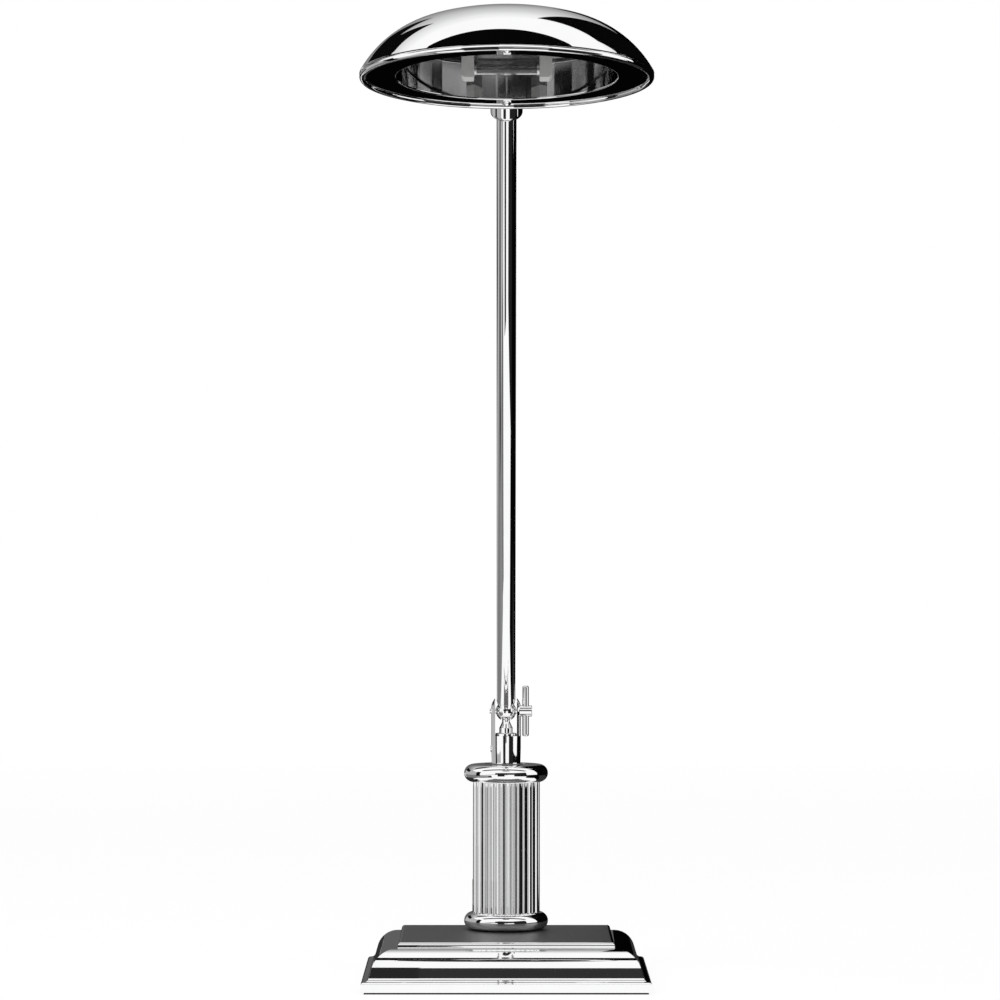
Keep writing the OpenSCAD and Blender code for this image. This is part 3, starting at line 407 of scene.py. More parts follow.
def softened_copy(name, node, width, body, finish):
    """A CAD node's shape with its facets merged and its edges softened, to stand for the node."""
    deselect()
    source = frame["nodes"][node]
    source.hide_set(False)
    source.select_set(True)
    bpy.context.view_layer.objects.active = source
    bpy.ops.object.duplicate()
    piece = named(name)
    for key in list(piece.keys()):
        del piece[key]
    bpy.ops.object.parent_clear(type="CLEAR_KEEP_TRANSFORM")
    piece.matrix_world = Matrix.Identity(4)
    edit_all()
    bpy.ops.mesh.remove_doubles(threshold=2e-6)
    bpy.ops.mesh.normals_make_consistent(inside=False)
    bpy.ops.mesh.dissolve_limited(angle_limit=math.radians(1.5))
    object_mode()
    edges_softened(piece, width, degrees=35)
    smoothed(piece)
    settle(piece, body, finish, node)
    return piece


def settle(piece, body, finish, *nodes):
    """Gives a finished piece its finish and its body, and hides the CAD nodes that it stands for."""
    modified(piece, "WEIGHTED_NORMAL", keep_sharp=True, weight=80)
    piece.data.materials.clear()
    piece.data.materials.append(bpy.data.materials["lamp_" + finish])
    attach(piece, body)
    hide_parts(*nodes)


# ---------- shader sums ----------


class Amount:
    """A number that varies over a surface: a socket whose sums add Math nodes."""

    def __init__(self, finish, socket):
        self.finish = finish
        self.socket = socket

    def sum(self, operation, *values):
        made = self.finish.node("ShaderNodeMath", {"operation": operation}, dict(enumerate(values)))
        return Amount(self.finish, made.outputs[0])

    def __add__(self, other):
        return self.sum("ADD", self, other)

    __radd__ = __add__

    def __mul__(self, other):
        return self.sum("MULTIPLY", self, other)

    __rmul__ = __mul__

    def __sub__(self, other):
        return self.sum("SUBTRACT", self, other)

    def __rsub__(self, other):
        return self.sum("SUBTRACT", other, self)

    def __pow__(self, other):
        return self.sum("POWER", self, other)

    def __gt__(self, other):
        return self.sum("GREATER_THAN", self, other)

    def sine(self):
        return self.sum("SINE", self)


class Finish:
    """A material, or the world, whose nodes are being laid."""

    def __init__(self, name=None, world=None):
        self.owner = world or bpy.data.materials.new("lamp_" + name)
        self.owner.use_nodes = True
        self.tree = self.owner.node_tree
        self.tree.nodes.clear()

    def node(self, kind, settings=None, sockets=None):
        """A node with its settings, such as an operation or a ramp's stops, and its sockets."""
        made = self.tree.nodes.new(kind)
        for setting, value in (settings or {}).items():
            if setting == "stops":
                ramp = made.color_ramp
                while len(ramp.elements) < len(value):
                    ramp.elements.new(1)
                for element, (position, tone) in zip(ramp.elements, value):
                    element.position = position
                    element.color = (*tone, 1) if isinstance(tone, tuple) else (tone, tone, tone, 1)
            else:
                setattr(made, setting, value)
        for socket, value in (sockets or {}).items():
            self.feed(made.inputs[socket], value)
        return made

    def feed(self, socket, value):
        """Links a socket, or sets it to a plain value."""
        if isinstance(value, Amount):
            value = value.socket
        if isinstance(value, bpy.types.NodeSocket):
            self.tree.links.new(value, socket)
        elif socket.type == "RGBA":
            socket.default_value = (*value, 1)
        else:
            socket.default_value = value

    def where(self):
        """Object coordinates."""
        return self.node("ShaderNodeTexCoord").outputs["Object"]

    def place(self, turn_degrees=(0, 0, 0), centre=(0, 0, 0), stretch=(1, 1, 1)):
        """Object coordinates, centred, turned and stretched by a Mapping node."""
        made = self.node(
            "ShaderNodeMapping",
            {"vector_type": "TEXTURE"},
            {
                "Vector": self.where(),
                "Location": [c * MM for c in centre],
                "Rotation": [math.radians(a) for a in turn_degrees],
                "Scale": stretch,
            },
        )
        return made.outputs[0]

    def height(self, place):
        """How high a place is."""
        return Amount(self, self.node("ShaderNodeSeparateXYZ", {}, {0: place}).outputs[2])

    def far(self, place):
        """How far a place is from the centre."""
        made = self.node("ShaderNodeVectorMath", {"operation": "LENGTH"}, {0: place})
        return Amount(self, made.outputs[1])

    def noise(self, place, scale, detail=3.0, roughness=0.5):
        """Cloudy noise from 0 to 1."""
        made = self.node(
            "ShaderNodeTexNoise",
            {},
            {"Vector": place, "Scale": scale, "Detail": detail, "Roughness": roughness},
        )
        return Amount(self, made.outputs[0])

    def rays(self):
        """Whether a ray comes from the camera, from a mirror and through glass."""
        path = self.node("ShaderNodeLightPath")
        kinds = ("Is Camera Ray", "Is Glossy Ray", "Is Transmission Ray")
        return [Amount(self, path.outputs[kind]) for kind in kinds]

    def ramp(self, amount, stops):
        """A number taken through a ramp of tones."""
        made = self.node("ShaderNodeValToRGB", {"stops": stops}, {"Fac": amount})
        return made.outputs[0]

    def blend(self, amount, low, high):
        """A colour between two colours."""
        made = self.node(
            "ShaderNodeMix", {"data_type": "RGBA"}, {"Factor": amount, 6: low, 7: high}
        )
        return made.outputs[2]

    def bump(self, height, strength, distance=0.0002):
        """A normal from a height."""
        made = self.node(
            "ShaderNodeBump", {}, {"Strength": strength, "Distance": distance, "Height": height}
        )
        return made.outputs[0]

    def end(self, shader, kind="ShaderNodeOutputMaterial"):
        """Ends the nodes in one shader."""
        self.node(kind, {}, {0: shader.outputs[0]})
        return self.owner

    def done(self, sockets):
        """Ends the material in one surface shader."""
        return self.end(self.node("ShaderNodeBsdfPrincipled", {}, sockets))


def tinted(tone, factor):
    """A colour made lighter or darker."""
    return tuple(c * factor for c in tone)


def plated(name, clean, hazed, gloss=0.018, smear=0.03, ripple=0.004, around=None):
    """Bright plating: clean mirror, faint smears, and fine marks round a turned piece."""
    finish = Finish(name)
    place = finish.place()
    clouds = finish.noise(place, 45, 4, 0.6)
    specks = finish.noise(place, 700, 2, 0.5)
    smears = (clouds ** 3) * 1.6
    marks = finish.noise(finish.place(stretch=around or (0.02, 0.02, 0.0006)), 1, 2, 0.5)
    return finish.done(
        {
            "Metallic": 1.0,
            "Base Color": finish.blend(smears, clean, hazed),
            "Roughness": gloss + smears * smear + specks * 0.006,
            "Normal": finish.bump(marks * 0.5 + specks * 0.5, ripple, 0.0001),
        }
    )


def spun_reflector(tone):
    """Spun reflector: polished flange and wall, and a dull roof with fine spinning marks, whose colour is
    darkened as painted shade of the deep recess.
    """
    finish = Finish("reflector_chrome")
    centre = SHADE.translation / MM
    place = finish.place((ARM_LEAN + SHADE_TURN, 0, 0), centre)
    # mask of the roof of the recess, whose colour is painted dark as painted shade; its added roughness is
    # real
    roof = finish.height(place) > REFLECTOR_ROOF * MM
    flat = finish.node("ShaderNodeVectorMath", {"operation": "MULTIPLY"}, {0: place, 1: (1, 1, 0)})
    radius = finish.far(flat.outputs[0])
    clouds = finish.noise(place, 40, 3, 0.5)
    rings = (radius * 9000).sine()
    return finish.done(
        {
            "Metallic": 1.0,
            # the roof's colour is cut to about a tenth: painted shade of the recess
            "Base Color": finish.blend(roof, tone, tinted(tone, 0.11)),
            "Roughness": 0.02 + clouds * 0.02 + roof * 0.16,
            "Normal": finish.bump(rings * roof, 0.01, 0.00005),
        }
    )


def base_plating(colours):
    """Plating over the cast and buffed base: its flat top is satin, with its colour painted dark as
    painted shade, and the moulding is bright.
    """
    finish = Finish("plated_casting")
    place = finish.place()
    # mask of the flat top, whose colour is painted dark as painted shade; its satin roughness is real
    top = finish.height(place) > (BASE_TOP - 0.03) * MM
    clouds = finish.noise(place, 28, 4, 0.6)
    specks = finish.noise(place, 900, 2, 0.5)
    waves = finish.noise(place, 16, 1, 0.4)
    smears = (clouds ** 3) * 1.4
    return finish.done(
        {
            "Metallic": 1.0,
            # the flat top takes a dark colour: painted shade
            "Base Color": finish.blend(
                top,
                finish.blend(smears, colours.chrome, colours.chrome_haze),
                colours.painted_shade_top,
            ),
            "Roughness": 0.018 + smears * 0.03 + specks * 0.006 + top * 0.38,
            "Normal": finish.bump(waves * 0.9 + specks * 0.06, 0.008, 0.0006),
        }
    )


def grained(name, tones, clouds, grain, rough, relief, metallic=1.0, drawn=None):
    """A plain finish: a cloudy tone between two, and a grain that roughens and raises it.

    Clouds and grain are scale, detail and roughness of a noise; the three roughs are the least,
    the clouds' part and the grain's part; relief is a strength and a distance.
    """
    finish = Finish(name)
    cloudy = finish.noise(finish.place(), *clouds)
    fine = finish.noise(finish.place(stretch=drawn) if drawn else finish.place(), *grain)
    return finish.done(
        {
            "Metallic": metallic,
            "Base Color": finish.blend(cloudy, *tones),
            "Roughness": rough[0] + cloudy * rough[1] + fine * rough[2],
            "Normal": finish.bump(fine, *relief),
        }
    )


def coarse_metal(name, tone, rough, grain=500, depth=0.15):
    """Plain unpolished metal with a grain."""
    tones = (tinted(tone, 0.75), tone)
    return grained(
        name, tones, (90, 4, 0.6), (grain, 3, 0.6), (rough, 0.15, 0.08), (depth, 0.00015)
    )


def moulded(name, tone, rough):
    """Moulded rubber or plastic with a faint skin."""
    tones = (tinted(tone, 0.86), tone)
    return grained(
        name, tones, (110, 3, 0.5), (1400, 3, 0.6), (rough, 0, 0.12), (0.12, 0.0001), metallic=0
    )


def felted(colours):
    """Pressed felt: short crossing fibres over a cloudy black."""
    finish = Finish("black_felt")
    place = finish.place()
    fibres = finish.noise(finish.place(stretch=(1, 0.2, 1)), 1800, 4, 0.7)
    crossing = finish.noise(finish.place(stretch=(0.2, 1, 1)), 1800, 4, 0.7)
    clouds = finish.noise(place, 120, 3, 0.5)
    tones = (colours.felt, tinted(colours.felt, 2.4))
    return finish.done(
        {
            "Base Color": finish.blend(clouds * 0.5 + fibres * 0.5, *tones),
            "Roughness": 0.9 + clouds * 0.08,
            "Specular IOR Level": 0.0,
            "Normal": finish.bump(fibres + crossing, 0.5, 0.0002),
        }
    )


def lamp_glass():
    """Clear thin glass with a trace of drawn streaks along the tube."""
    finish = Finish("clear_glass")
    streaks = finish.noise(finish.place(stretch=(0.2, 0.004, 0.004)), 1, 2, 0.5)
    dust = finish.noise(finish.place(), 300, 3, 0.6)
    return finish.done(
        {
            "Base Color": finish.blend(dust, (0.56, 0.57, 0.57), (0.62, 0.62, 0.62)),
            "Roughness": 0.01 + dust * 0.05,
            "Transmission Weight": 1.0,
            "IOR": 1.5,
            "Normal": finish.bump(streaks, 0.03, 0.0001),
        }
    )


# ---------- operators ----------


class LAMP_OT_finishes(bpy.types.Operator):
    """Lays the materials of all finishes"""

    bl_idname = "lamp.finishes"
    bl_label = "Finishes"

    def execute(self, context):
        colours = context.scene.lamp_colours
        chrome, haze = colours.chrome, colours.chrome_haze
        base_plating(colours)
        tones = (colours.iron, tinted(colours.iron, 1.8))
        grained(
            "cast_iron_black", tones, (60, 3, 0.5), (600, 5, 0.65), (0.55, 0, 0.3), (0.5, 0.0004),
            metallic=0,
        )
        felted(colours)
        plated("bright_chrome", chrome, haze)
        plated("satin_nickel", (0.46, 0.46, 0.465), (0.38, 0.38, 0.385), gloss=0.2, smear=0.08)
        plated("fluted_chrome", chrome, haze, gloss=0.01, smear=0.015, ripple=0.0004)
        plated("dome_chrome", chrome, haze, gloss=0.015, smear=0.02, ripple=0.002)
        spun_reflector(colours.reflector)
        coarse_metal("closing_plate", (0.35, 0.36, 0.37), 0.35)
        coarse_metal("zinc_screws", colours.zinc, 0.22, depth=0.1)
        coarse_metal("plain_brass", colours.brass, 0.28, depth=0.1)
        coarse_metal("spring_brass", colours.brass, 0.2, grain=900, depth=0.05)
        coarse_metal("inner_steel", (0.42, 0.42, 0.43), 0.32, depth=0.12)
        coarse_metal("lead_sheath", (0.20, 0.20, 0.21), 0.5, depth=0.3)
        moulded("black_rubber", colours.rubber, 0.6)
        moulded("pale_holder", colours.holder, 0.38)
        lamp_glass()
        tones = ((0.70, 0.70, 0.70), (0.84, 0.84, 0.85))
        grained(
            "lamp_cap_metal", tones, (200, 3, 0.6), (1, 2, 0.5), (0.18, 0.08, 0.12), (0.2, 0.0001),
            drawn=(0.00025, 0.02, 0.02),
        )
        tones = ((0.10, 0.10, 0.10), (0.24, 0.24, 0.23))
        grained(
            "filament_wire", tones, (900, 3, 0.6), (900, 3, 0.6), (0.35, 0.2, 0), (0.2, 0.00005)
        )
        return {"FINISHED"}


class LAMP_OT_base_moulding(bpy.types.Operator):
    """Models the plated base: plinth, ledge, cove, round and top slab, mitred at the corners"""

    bl_idname = "lamp.base_moulding"
    bl_label = "Base moulding"

    def execute(self, context):
        sizes = context.scene.lamp_sizes
        width, depth = sizes.base_width / MM, sizes.base_depth / MM
        middle = (BASE_LOW.y + BASE_HIGH.y) / 2
        big, cove, slab = sizes.round_radius / MM, sizes.cove_radius / MM, sizes.slab_round / MM
        cove_centre = (2.01, 7.6 + cove)
        profile = rounded(
            [(0.25, BASE_FLOOR), (0, BASE_FLOOR + 0.25), (0, 6.5, 0.35), (1.1, 7.4, 0.35), (1.85, 7.4)], 3
        )
        profile += arc(cove_centre, cove, -90, -18.5, 14)
        foot = profile[-1]
        side = [(21.9 + x, z) for x, z in arc((0, 11.3), -big, -13.5, -90, 24)]
        for part in (0.03, 0.97):
            profile.append(tuple(a + (b - a) * part for a, b in zip(foot, side[0])))
        profile += side
        profile += rounded([(21.95, 27.1), (23.0, 27.1, 0.3), (23.0, BASE_TOP - slab)], 3)[1:-1]
        profile += [(23.0 + slab + x, z) for x, z in arc((0, BASE_TOP - slab), -slab, 0, -90, 9)]
        inset, height = profile[0]
        centre = (0, middle, height * MM)
        piece = sheet("base_moulding", centre, (width - 2 * inset) * MM, (depth - 2 * inset) * MM)
        edit_all()

        def next_ring(here, following):
            """Extrudes the selected face to the next level and resizes it to the next inset."""
            (a, low), (b, high) = here, following
            extrude((0, 0, (high - low) * MM))
            x, y = (width - 2 * b) / (width - 2 * a), (depth - 2 * b) / (depth - 2 * a)
            widen(x, y, (0, middle, high * MM))

        for here, following in zip(profile, profile[1:]):
            next_ring(here, following)
        under = (BASE_FLOOR + 0.1) * MM
        select_where(piece, "FACE", lambda face: face.center.z < under and abs(face.normal.z) > 0.9)
        hollow = [(0.25, BASE_FLOOR), (4.7, BASE_FLOOR), (4.7, 3.2), (13, 3.2), (13, 12), (27, 26.7)]
        for here, following in zip(hollow, hollow[1:]):
            next_ring(here, following)
        face_outwards()
        back = shift(0, 0, INLET) @ turn(-90, "X")
        cut_away(piece, rod("inlet_bore", 4.05, 40, 60, back))
        cut_away(piece, rod("inlet_seat", 6.8, 44.2, 60, back))
        edges_softened(piece, 0.12 * MM, degrees=50)
        smoothed(piece, 14)
        settle(piece, "base", "plated_casting", "base_shell")
        return {"FINISHED"}


class LAMP_OT_collars(bpy.types.Operator):
    """Turns the two ring collars with their half-round edge, spigots and bores"""

    bl_idname = "lamp.collars"
    bl_label = "Ring collars"

    def execute(self, context):
        outer = context.scene.lamp_sizes.ring_diameter / MM / 2
        half = (LOWER_RING_TOP - BASE_TOP) / 2
        edge = outer - half
        bore, spigot, spigot_end = 6.55, 14.95, LOWER_RING_TOP + 2
        outline = [(bore, BASE_TOP), (15.0, BASE_TOP)]
        outline += arc((edge, BASE_TOP + half), half, -90, 90, 40)
        outline += [(spigot, LOWER_RING_TOP), (spigot, spigot_end), (bore, spigot_end)]
        settle(turned("lower_collar", outline, 160), "base", "bright_chrome", "lower_ring")
        bore, spigot_end, seat, seat_floor = 9.05, UPPER_RING_BASE - 2, 14.05, 131.4
        outline = [(bore, spigot_end), (spigot, spigot_end), (spigot, UPPER_RING_BASE)]
        outline += arc((edge, UPPER_RING_BASE + half), half, -90, 90, 40)
        outline += rounded([(edge, UPPER_RING_TOP), (seat, UPPER_RING_TOP, 0.3), (seat, seat_floor)])[1:]
        outline += [(bore, seat_floor)]
        settle(turned("upper_collar", outline, 160), "base", "bright_chrome", "upper_ring")
        return {"FINISHED"}


class LAMP_OT_fluted_column(bpy.types.Operator):
    """Models the column from a ring of edges whose flute vertices are drawn inwards"""

    bl_idname = "lamp.fluted_column"
    bl_label = "Fluted column"

    def execute(self, context):
        sizes = context.scene.lamp_sizes
        outer, bore = sizes.column_diameter / 2, sizes.column_bore / 2
        count, per_flute = sizes.flute_count, 24
        pitch = math.tau / count
        centre = outer + sizes.flute_offset
        tall = (UPPER_RING_BASE - LOWER_RING_TOP) * MM
        deselect()
        bpy.ops.mesh.primitive_circle_add(vertices=count * per_flute, radius=bore)
        piece = named("column_tube")
        edit_all()
        extrude((0, 0, 0))
        widen(outer / bore, outer / bore)
        object_mode()
        for phase in range(per_flute // 2):
            angle = pitch * phase / per_flute
            reach = sizes.flute_radius ** 2 - (centre * math.sin(angle)) ** 2
            if reach <= 0:
                break
            depth = centre * math.cos(angle) - math.sqrt(reach)
            if depth >= outer:
                break

            def in_phase(vertex, angle=angle):
                """Whether a vertex of the outer ring lies this far from the middle of a flute."""
                place = vertex.co
                round_place = math.atan2(place.y, place.x) % pitch
                away = min(round_place, pitch - round_place)
                return place.xy.length > (outer + bore) / 2 and abs(away - angle) < pitch / per_flute / 4

            select_where(piece, "VERT", in_phase)
            widen(depth / outer, depth / outer)
            object_mode()
        only(piece)
        edit_all()
        extrude((0, 0, tall))
        face_outwards()
        placed(piece, shift(0, 0, LOWER_RING_TOP))
        smoothed(piece, 35)
        settle(piece, "base", "fluted_chrome", "fluted_column")
        return {"FINISHED"}


class LAMP_OT_stem(bpy.types.Operator):
    """Turns the stem with its rounded crown and mills the slot, the hub seat and the screw seat"""

    bl_idname = "lamp.stem"
    bl_label = "Slotted stem"

    def execute(self, context):
        sizes = context.scene.lamp_sizes
        radius, half_slot = sizes.stem_diameter / MM / 2, sizes.slot_width / MM / 2
        outline = rounded(
            [(0, 159.0), (2.5, 159.0), (2.5, 120.6, 0.3), (5.0, 120.6, 0.4), (5.0, STEM_FLOOR),
             (radius, STEM_FLOOR, 0.35)]
        )
        outline += [(radius, 150.0), (radius, 165.0)]
        outline += arc((0, CROWN), radius, 0, 90, 24)
        piece = turned("slotted_stem", outline)
        slot = block("slot", (-half_slot, -20, SLOT_FLOOR), (half_slot, 20, 200))
        cut_away(piece, slot)
        across = shift(0, 0, PIVOT) @ ALONG_X
        cut_away(piece, rod("hub_seat", sizes.hub_diameter / MM / 2 + 0.3, HUB_START, 14, across))
        cut_away(piece, rod("screw_bore", 2.0, 5, 10, across))
        cut_away(piece, rod("pin_bore", 1.7, -14, -5, across))
        cut_away(piece, rod("screw_seat", 2.4, -14, -8.8, shift(0, 0, 149.1) @ ALONG_X))
        edges_softened(piece, sizes.soft_edge, degrees=40, segments=3)
        smoothed(piece)
        settle(piece, "stem", "bright_chrome", "clevis_stem")
        return {"FINISHED"}


class LAMP_OT_lead_nipple(bpy.types.Operator):
    """Turns the nipple that leads the wire out of the stem, with its lip, waist and skirt"""

    bl_idname = "lamp.lead_nipple"
    bl_label = "Lead nipple"

    def execute(self, context):
        outline = rounded(
            [(1.6, 144.0), (3.4, 144.0, 0.3), (3.4, 157.5), (3.4, SLOT_FLOOR), (7.0, SLOT_FLOOR),
             (7.0, 159.2, 0.35), (4.45, 159.2, 0.3), (4.45, 162.6, 0.8), (3.0, 165.6, 0.6),
             (2.6, 166.6, 0.5), (2.6, 168.4, 0.4), (3.0, 168.7, 0.2), (3.0, 169.7, 0.4),
             (1.6, 169.7, 0.3)]
        )
        settle(turned("waisted_nipple", outline, 96), "stem", "bright_chrome", "lead_nipple")
        return {"FINISHED"}


class LAMP_OT_clamp(bpy.types.Operator):
    """Turns the clamp screw with its hub and the cross bar with its rounded ends"""

    bl_idname = "lamp.clamp"
    bl_label = "Clamp and cross bar"

    def execute(self, context):
        sizes = context.scene.lamp_sizes
        hub, bar = sizes.hub_diameter / MM / 2, sizes.bar_diameter / MM / 2
        half = sizes.bar_length / MM / 2
        outline = rounded(
            [(0, 3.3), (1.95, 3.3, 0.3), (1.95, HUB_START), (hub, HUB_START, 0.2), (hub, 17.0, 0.45),
             (0, 17.0)]
        )
        screw = turned("clamp_hub", outline, 96, shift(0, 0, PIVOT) @ ALONG_X)
        place = shift(BAR_PLACE, 0, PIVOT)
        cut_away(screw, rod("bar_bore", bar + 0.05, -9, 9, place, sides=96))
        edges_softened(screw, 0.15 * MM, degrees=45)
        smoothed(screw)
        settle(screw, "clamp", "bright_chrome", "clamp_screw")
        outline = rounded([(0, -half), (bar, -half, 1.2), (bar, half, 1.2), (0, half)], 8)
        settle(turned("tommy_bar", outline, 96, place), "clamp", "bright_chrome", "cross_bar")
        return {"FINISHED"}


class LAMP_OT_arm(bpy.types.Operator):
    """Turns the arm tube and the cup at its top"""

    bl_idname = "lamp.arm"
    bl_label = "Arm and cup"

    def execute(self, context):
        sizes = context.scene.lamp_sizes
        outer, bore = sizes.arm_diameter / MM / 2, sizes.arm_bore / MM / 2
        low, high = 8.1, 440.9
        outline = rounded([(bore, low, 0.2), (outer, low, 0.3), (outer, high, 0.3), (bore, high, 0.2)])
        settle(turned("arm_pipe", outline, 144, ARM), "arm", "bright_chrome", "arm_tube")
        cup, skirt, hollow, post = sizes.cup_diameter / MM / 2, outer + 0.05, 8.3, 3.05
        low, high, web_low, web_high = 433.0, 449.0, 441.02, 444.98
        outline = rounded(
            [(skirt, low), (cup, low, 3.3), (cup, high, 0.6), (hollow, high, 0.3),
             (hollow, web_high), (post, web_high), (post, web_low), (skirt, web_low)],
            10,
        )
        settle(turned("arm_cup", outline, 128, ARM), "arm", "bright_chrome", "top_cup")
        return {"FINISHED"}


class LAMP_OT_dome(bpy.types.Operator):
    """Spins the domed shade and its rolled rim"""

    bl_idname = "lamp.dome"
    bl_label = "Dome and rim"

    def execute(self, context):
        sizes = context.scene.lamp_sizes
        shoulder, crown, wall = (
            sizes.shoulder_radius / MM, sizes.crown_radius / MM, sizes.dome_wall / MM
        )
        bead, rim = sizes.bead_diameter / MM / 2, sizes.rim_radius / MM
        join = math.degrees(math.atan2(SHOULDER[1] - CROWN_CENTRE, SHOULDER[0]))

        def skin(step):
            """The dome's outline from its top to its lower edge, drawn in by a step."""
            low = math.degrees(math.asin((2 * bead - SHOULDER[1]) / (shoulder - step)))
            top = arc((0, CROWN_CENTRE), crown - step, 90, join, 20)
            side = arc(SHOULDER, shoulder - step, join, low, 36)
            return top + side[1:]

        outline = skin(0) + skin(wall)[::-1]
        shell = turned("dome_shell", outline, 192, SHADE)
        cut_away(shell, rod("stud_hole", 3.05, -5, 5, SHADE @ shift(*STUD) @ turn(-45, "X")))
        smoothed(shell)
        settle(shell, "shade", "dome_chrome", "shade_dome")
        outline = arc((rim - bead, bead), bead, 0, 360, 32)[:-1]
        settle(turned("rolled_rim", outline, 192, SHADE), "shade", "dome_chrome", "rim_bead")
        return {"FINISHED"}


class LAMP_OT_reflector(bpy.types.Operator):
    """Spins the reflector pan with its flat flange, rolled inner edge and round recess"""

    bl_idname = "lamp.reflector"
    bl_label = "Reflector pan"

    def execute(self, context):
        sizes = context.scene.lamp_sizes
        recess, roof = sizes.recess_radius / MM, sizes.recess_height / MM
        edge = (sizes.rim_radius - sizes.bead_diameter) / MM - 0.1
        wall, low, high = 0.8, 1.7, 2.5
        outline = rounded(
            [(0, roof + wall), (recess + wall, roof + wall, 1.2), (recess + wall, high),
             (edge, high, 0.15), (edge, low, 0.15), (recess, low, 1.1), (recess, roof, 1.6), (0, roof)],
            6,
        )
        settle(turned("spun_pan", outline, 192, SHADE), "shade", "reflector_chrome", "reflector_pan")
        return {"FINISHED"}


class LAMP_OT_holders(bpy.types.Operator):
    """Models one lamp holder with its socket and rounded lower corner, and copies it across"""

    bl_idname = "lamp.holders"
    bl_label = "Lamp holders"

    def execute(self, context):
        sizes = context.scene.lamp_sizes
        half = sizes.holder_depth / MM / 2
        roof = sizes.recess_height / MM
        piece = block("right_holder", (19.0, -half, 0.8), (26.3, half, roof))
        for side, offset, segments in ((1, sizes.holder_round, 8), (-1, 0.8 * MM, 5)):

            def low_corner(vertex, side=side):
                """Whether a vertex is at the holder's lower edge, on its outer or inner side."""
                return side * (vertex.co.x - 20 * MM) > 0 and vertex.co.z < 2 * MM

            select_where(piece, "VERT", low_corner)
            bpy.ops.mesh.bevel(offset=offset, segments=segments, affect="EDGES")
            object_mode()
        cut_away(piece, rod("socket", 5.2, 18.5, 25.2, shift(0, 0, LAMP_HEIGHT) @ ALONG_X, sides=96))
        edges_softened(piece, 0.3 * MM, degrees=40, segments=3)
        smoothed(piece)
        only(piece)
        bpy.ops.object.duplicate()
        mirrored = named("left_holder")
        placed(mirrored, Matrix.Scale(-1, 4, (1, 0, 0)))
        edit_all()
        face_outwards()
        for side, holder in (("right", piece), ("left", mirrored)):
            placed(holder, SHADE)
            settle(holder, "shade", "pale_holder", side + "_lampholder")
        return {"FINISHED"}


class LAMP_OT_tube(bpy.types.Operator):
    """Turns the glass tube and winds the filament: six coiled parts on a straight wire"""

    bl_idname = "lamp.tube"
    bl_label = "Lamp tube and filament"

    def execute(self, context):
        sizes = context.scene.lamp_sizes
        outer = sizes.glass_diameter / MM / 2
        place = SHADE @ shift(0, 0, LAMP_HEIGHT) @ ALONG_X
        end = 18.45
        bore = outer - 0.7
        outline = rounded([(bore, -end), (outer, -end, 0.3), (outer, end, 0.3), (bore, end)], 3)
        settle(turned("glass_tube", outline, 96, place), "shade", "clear_glass", "lamp_glass")
        coil, wire, run, spacing = sizes.coil_diameter / MM / 2, 0.11, 3.4, 5.8
        deselect()
        bpy.ops.mesh.primitive_circle_add(
            vertices=6, radius=wire * MM, location=((coil - wire) * MM, 0, -run / 2 * MM),
            rotation=(math.pi / 2, 0, 0),
        )
        winding = named("filament_coil")
        bpy.ops.object.transform_apply()
        modified(
            winding, "SCREW", axis="Z", angle=math.tau * sizes.coil_turns, screw_offset=run * MM,
            steps=12 * sizes.coil_turns, render_steps=12 * sizes.coil_turns, use_merge_vertices=False,
        )
        parts = [winding]
        for k in range(5):
            only(winding)
            bpy.ops.object.duplicate()
            parts.append(named(f"coil_{k}"))
            placed(parts[-1], shift(0, 0, (k - 1.5) * spacing))
        placed(winding, shift(0, 0, -2.5 * spacing))
        core = turned("core", [(0, -end), (0.16, -end), (0.16, end), (0, end)], 12)
        deselect()
        for part in parts + [core]:
            part.select_set(True)
        bpy.context.view_layer.objects.active = winding
        bpy.ops.object.join()
        edit_all()
        bpy.ops.mesh.fill_holes(sides=8)
        face_outwards()
        smoothed(winding, 60)
        placed(winding, place)
        settle(winding, "shade", "filament_wire", "filament")
        return {"FINISHED"}


class LAMP_OT_small_pieces(bpy.types.Operator):
    """Softens the edges of the swivel and the bracket of the shade"""

    bl_idname = "lamp.small_pieces"
    bl_label = "Swivel and bracket"

    def execute(self, context):
        softened_copy("swivel_stalk", "swivel_post", 0.3 * MM, "swivel", "satin_nickel")
        softened_copy("fork_bracket", "shade_bracket", 0.3 * MM, "shade", "satin_nickel")
        return {"FINISHED"}


class LAMP_OT_frame_finishes(bpy.types.Operator):
    """Gives each CAD node that stays in view the finish of its material slot"""

    bl_idname = "lamp.frame_finishes"
    bl_label = "Finishes of the CAD pieces"

    def execute(self, context):
        for part in frame["record"]["subparts"]:
            node = frame["nodes"][part["node"]]
            finish = SEEN_FINISH.get(part["node"], part["material_slot"])
            material = bpy.data.materials["lamp_" + finish]
            if not node.material_slots:
                node.data.materials.append(material)
            for slot in node.material_slots:
                slot.material = material
        return {"FINISHED"}


def card_paint(name, tone, ramp=None, top=1.0):
    """A glowing paint of one tone, or of a ramp of tones upwards."""
    finish = Finish(name)
    shade = (tone, tone, tone)
    if ramp:
        shade = finish.ramp(finish.height(finish.where()) * (1 / top), ramp)
    return finish.end(finish.node("ShaderNodeEmission", {}, {"Color": shade, "Strength": 1.0}))


def set_up(piece, paint):
    """Makes a plane a studio card that only polished metal sees."""
    piece.data.materials.append(paint)
    for kind in ("camera", "diffuse", "transmission", "shadow", "volume_scatter"):
        setattr(piece, "visible_" + kind, False)


def card(name, centre, size, tilt, tone, ramp=None):
    """A flat card at a place, turned about the three axes."""
    set_up(sheet(name, centre, *size, tilt), card_paint(name, tone, ramp, centre[2] + size[1] / 2))


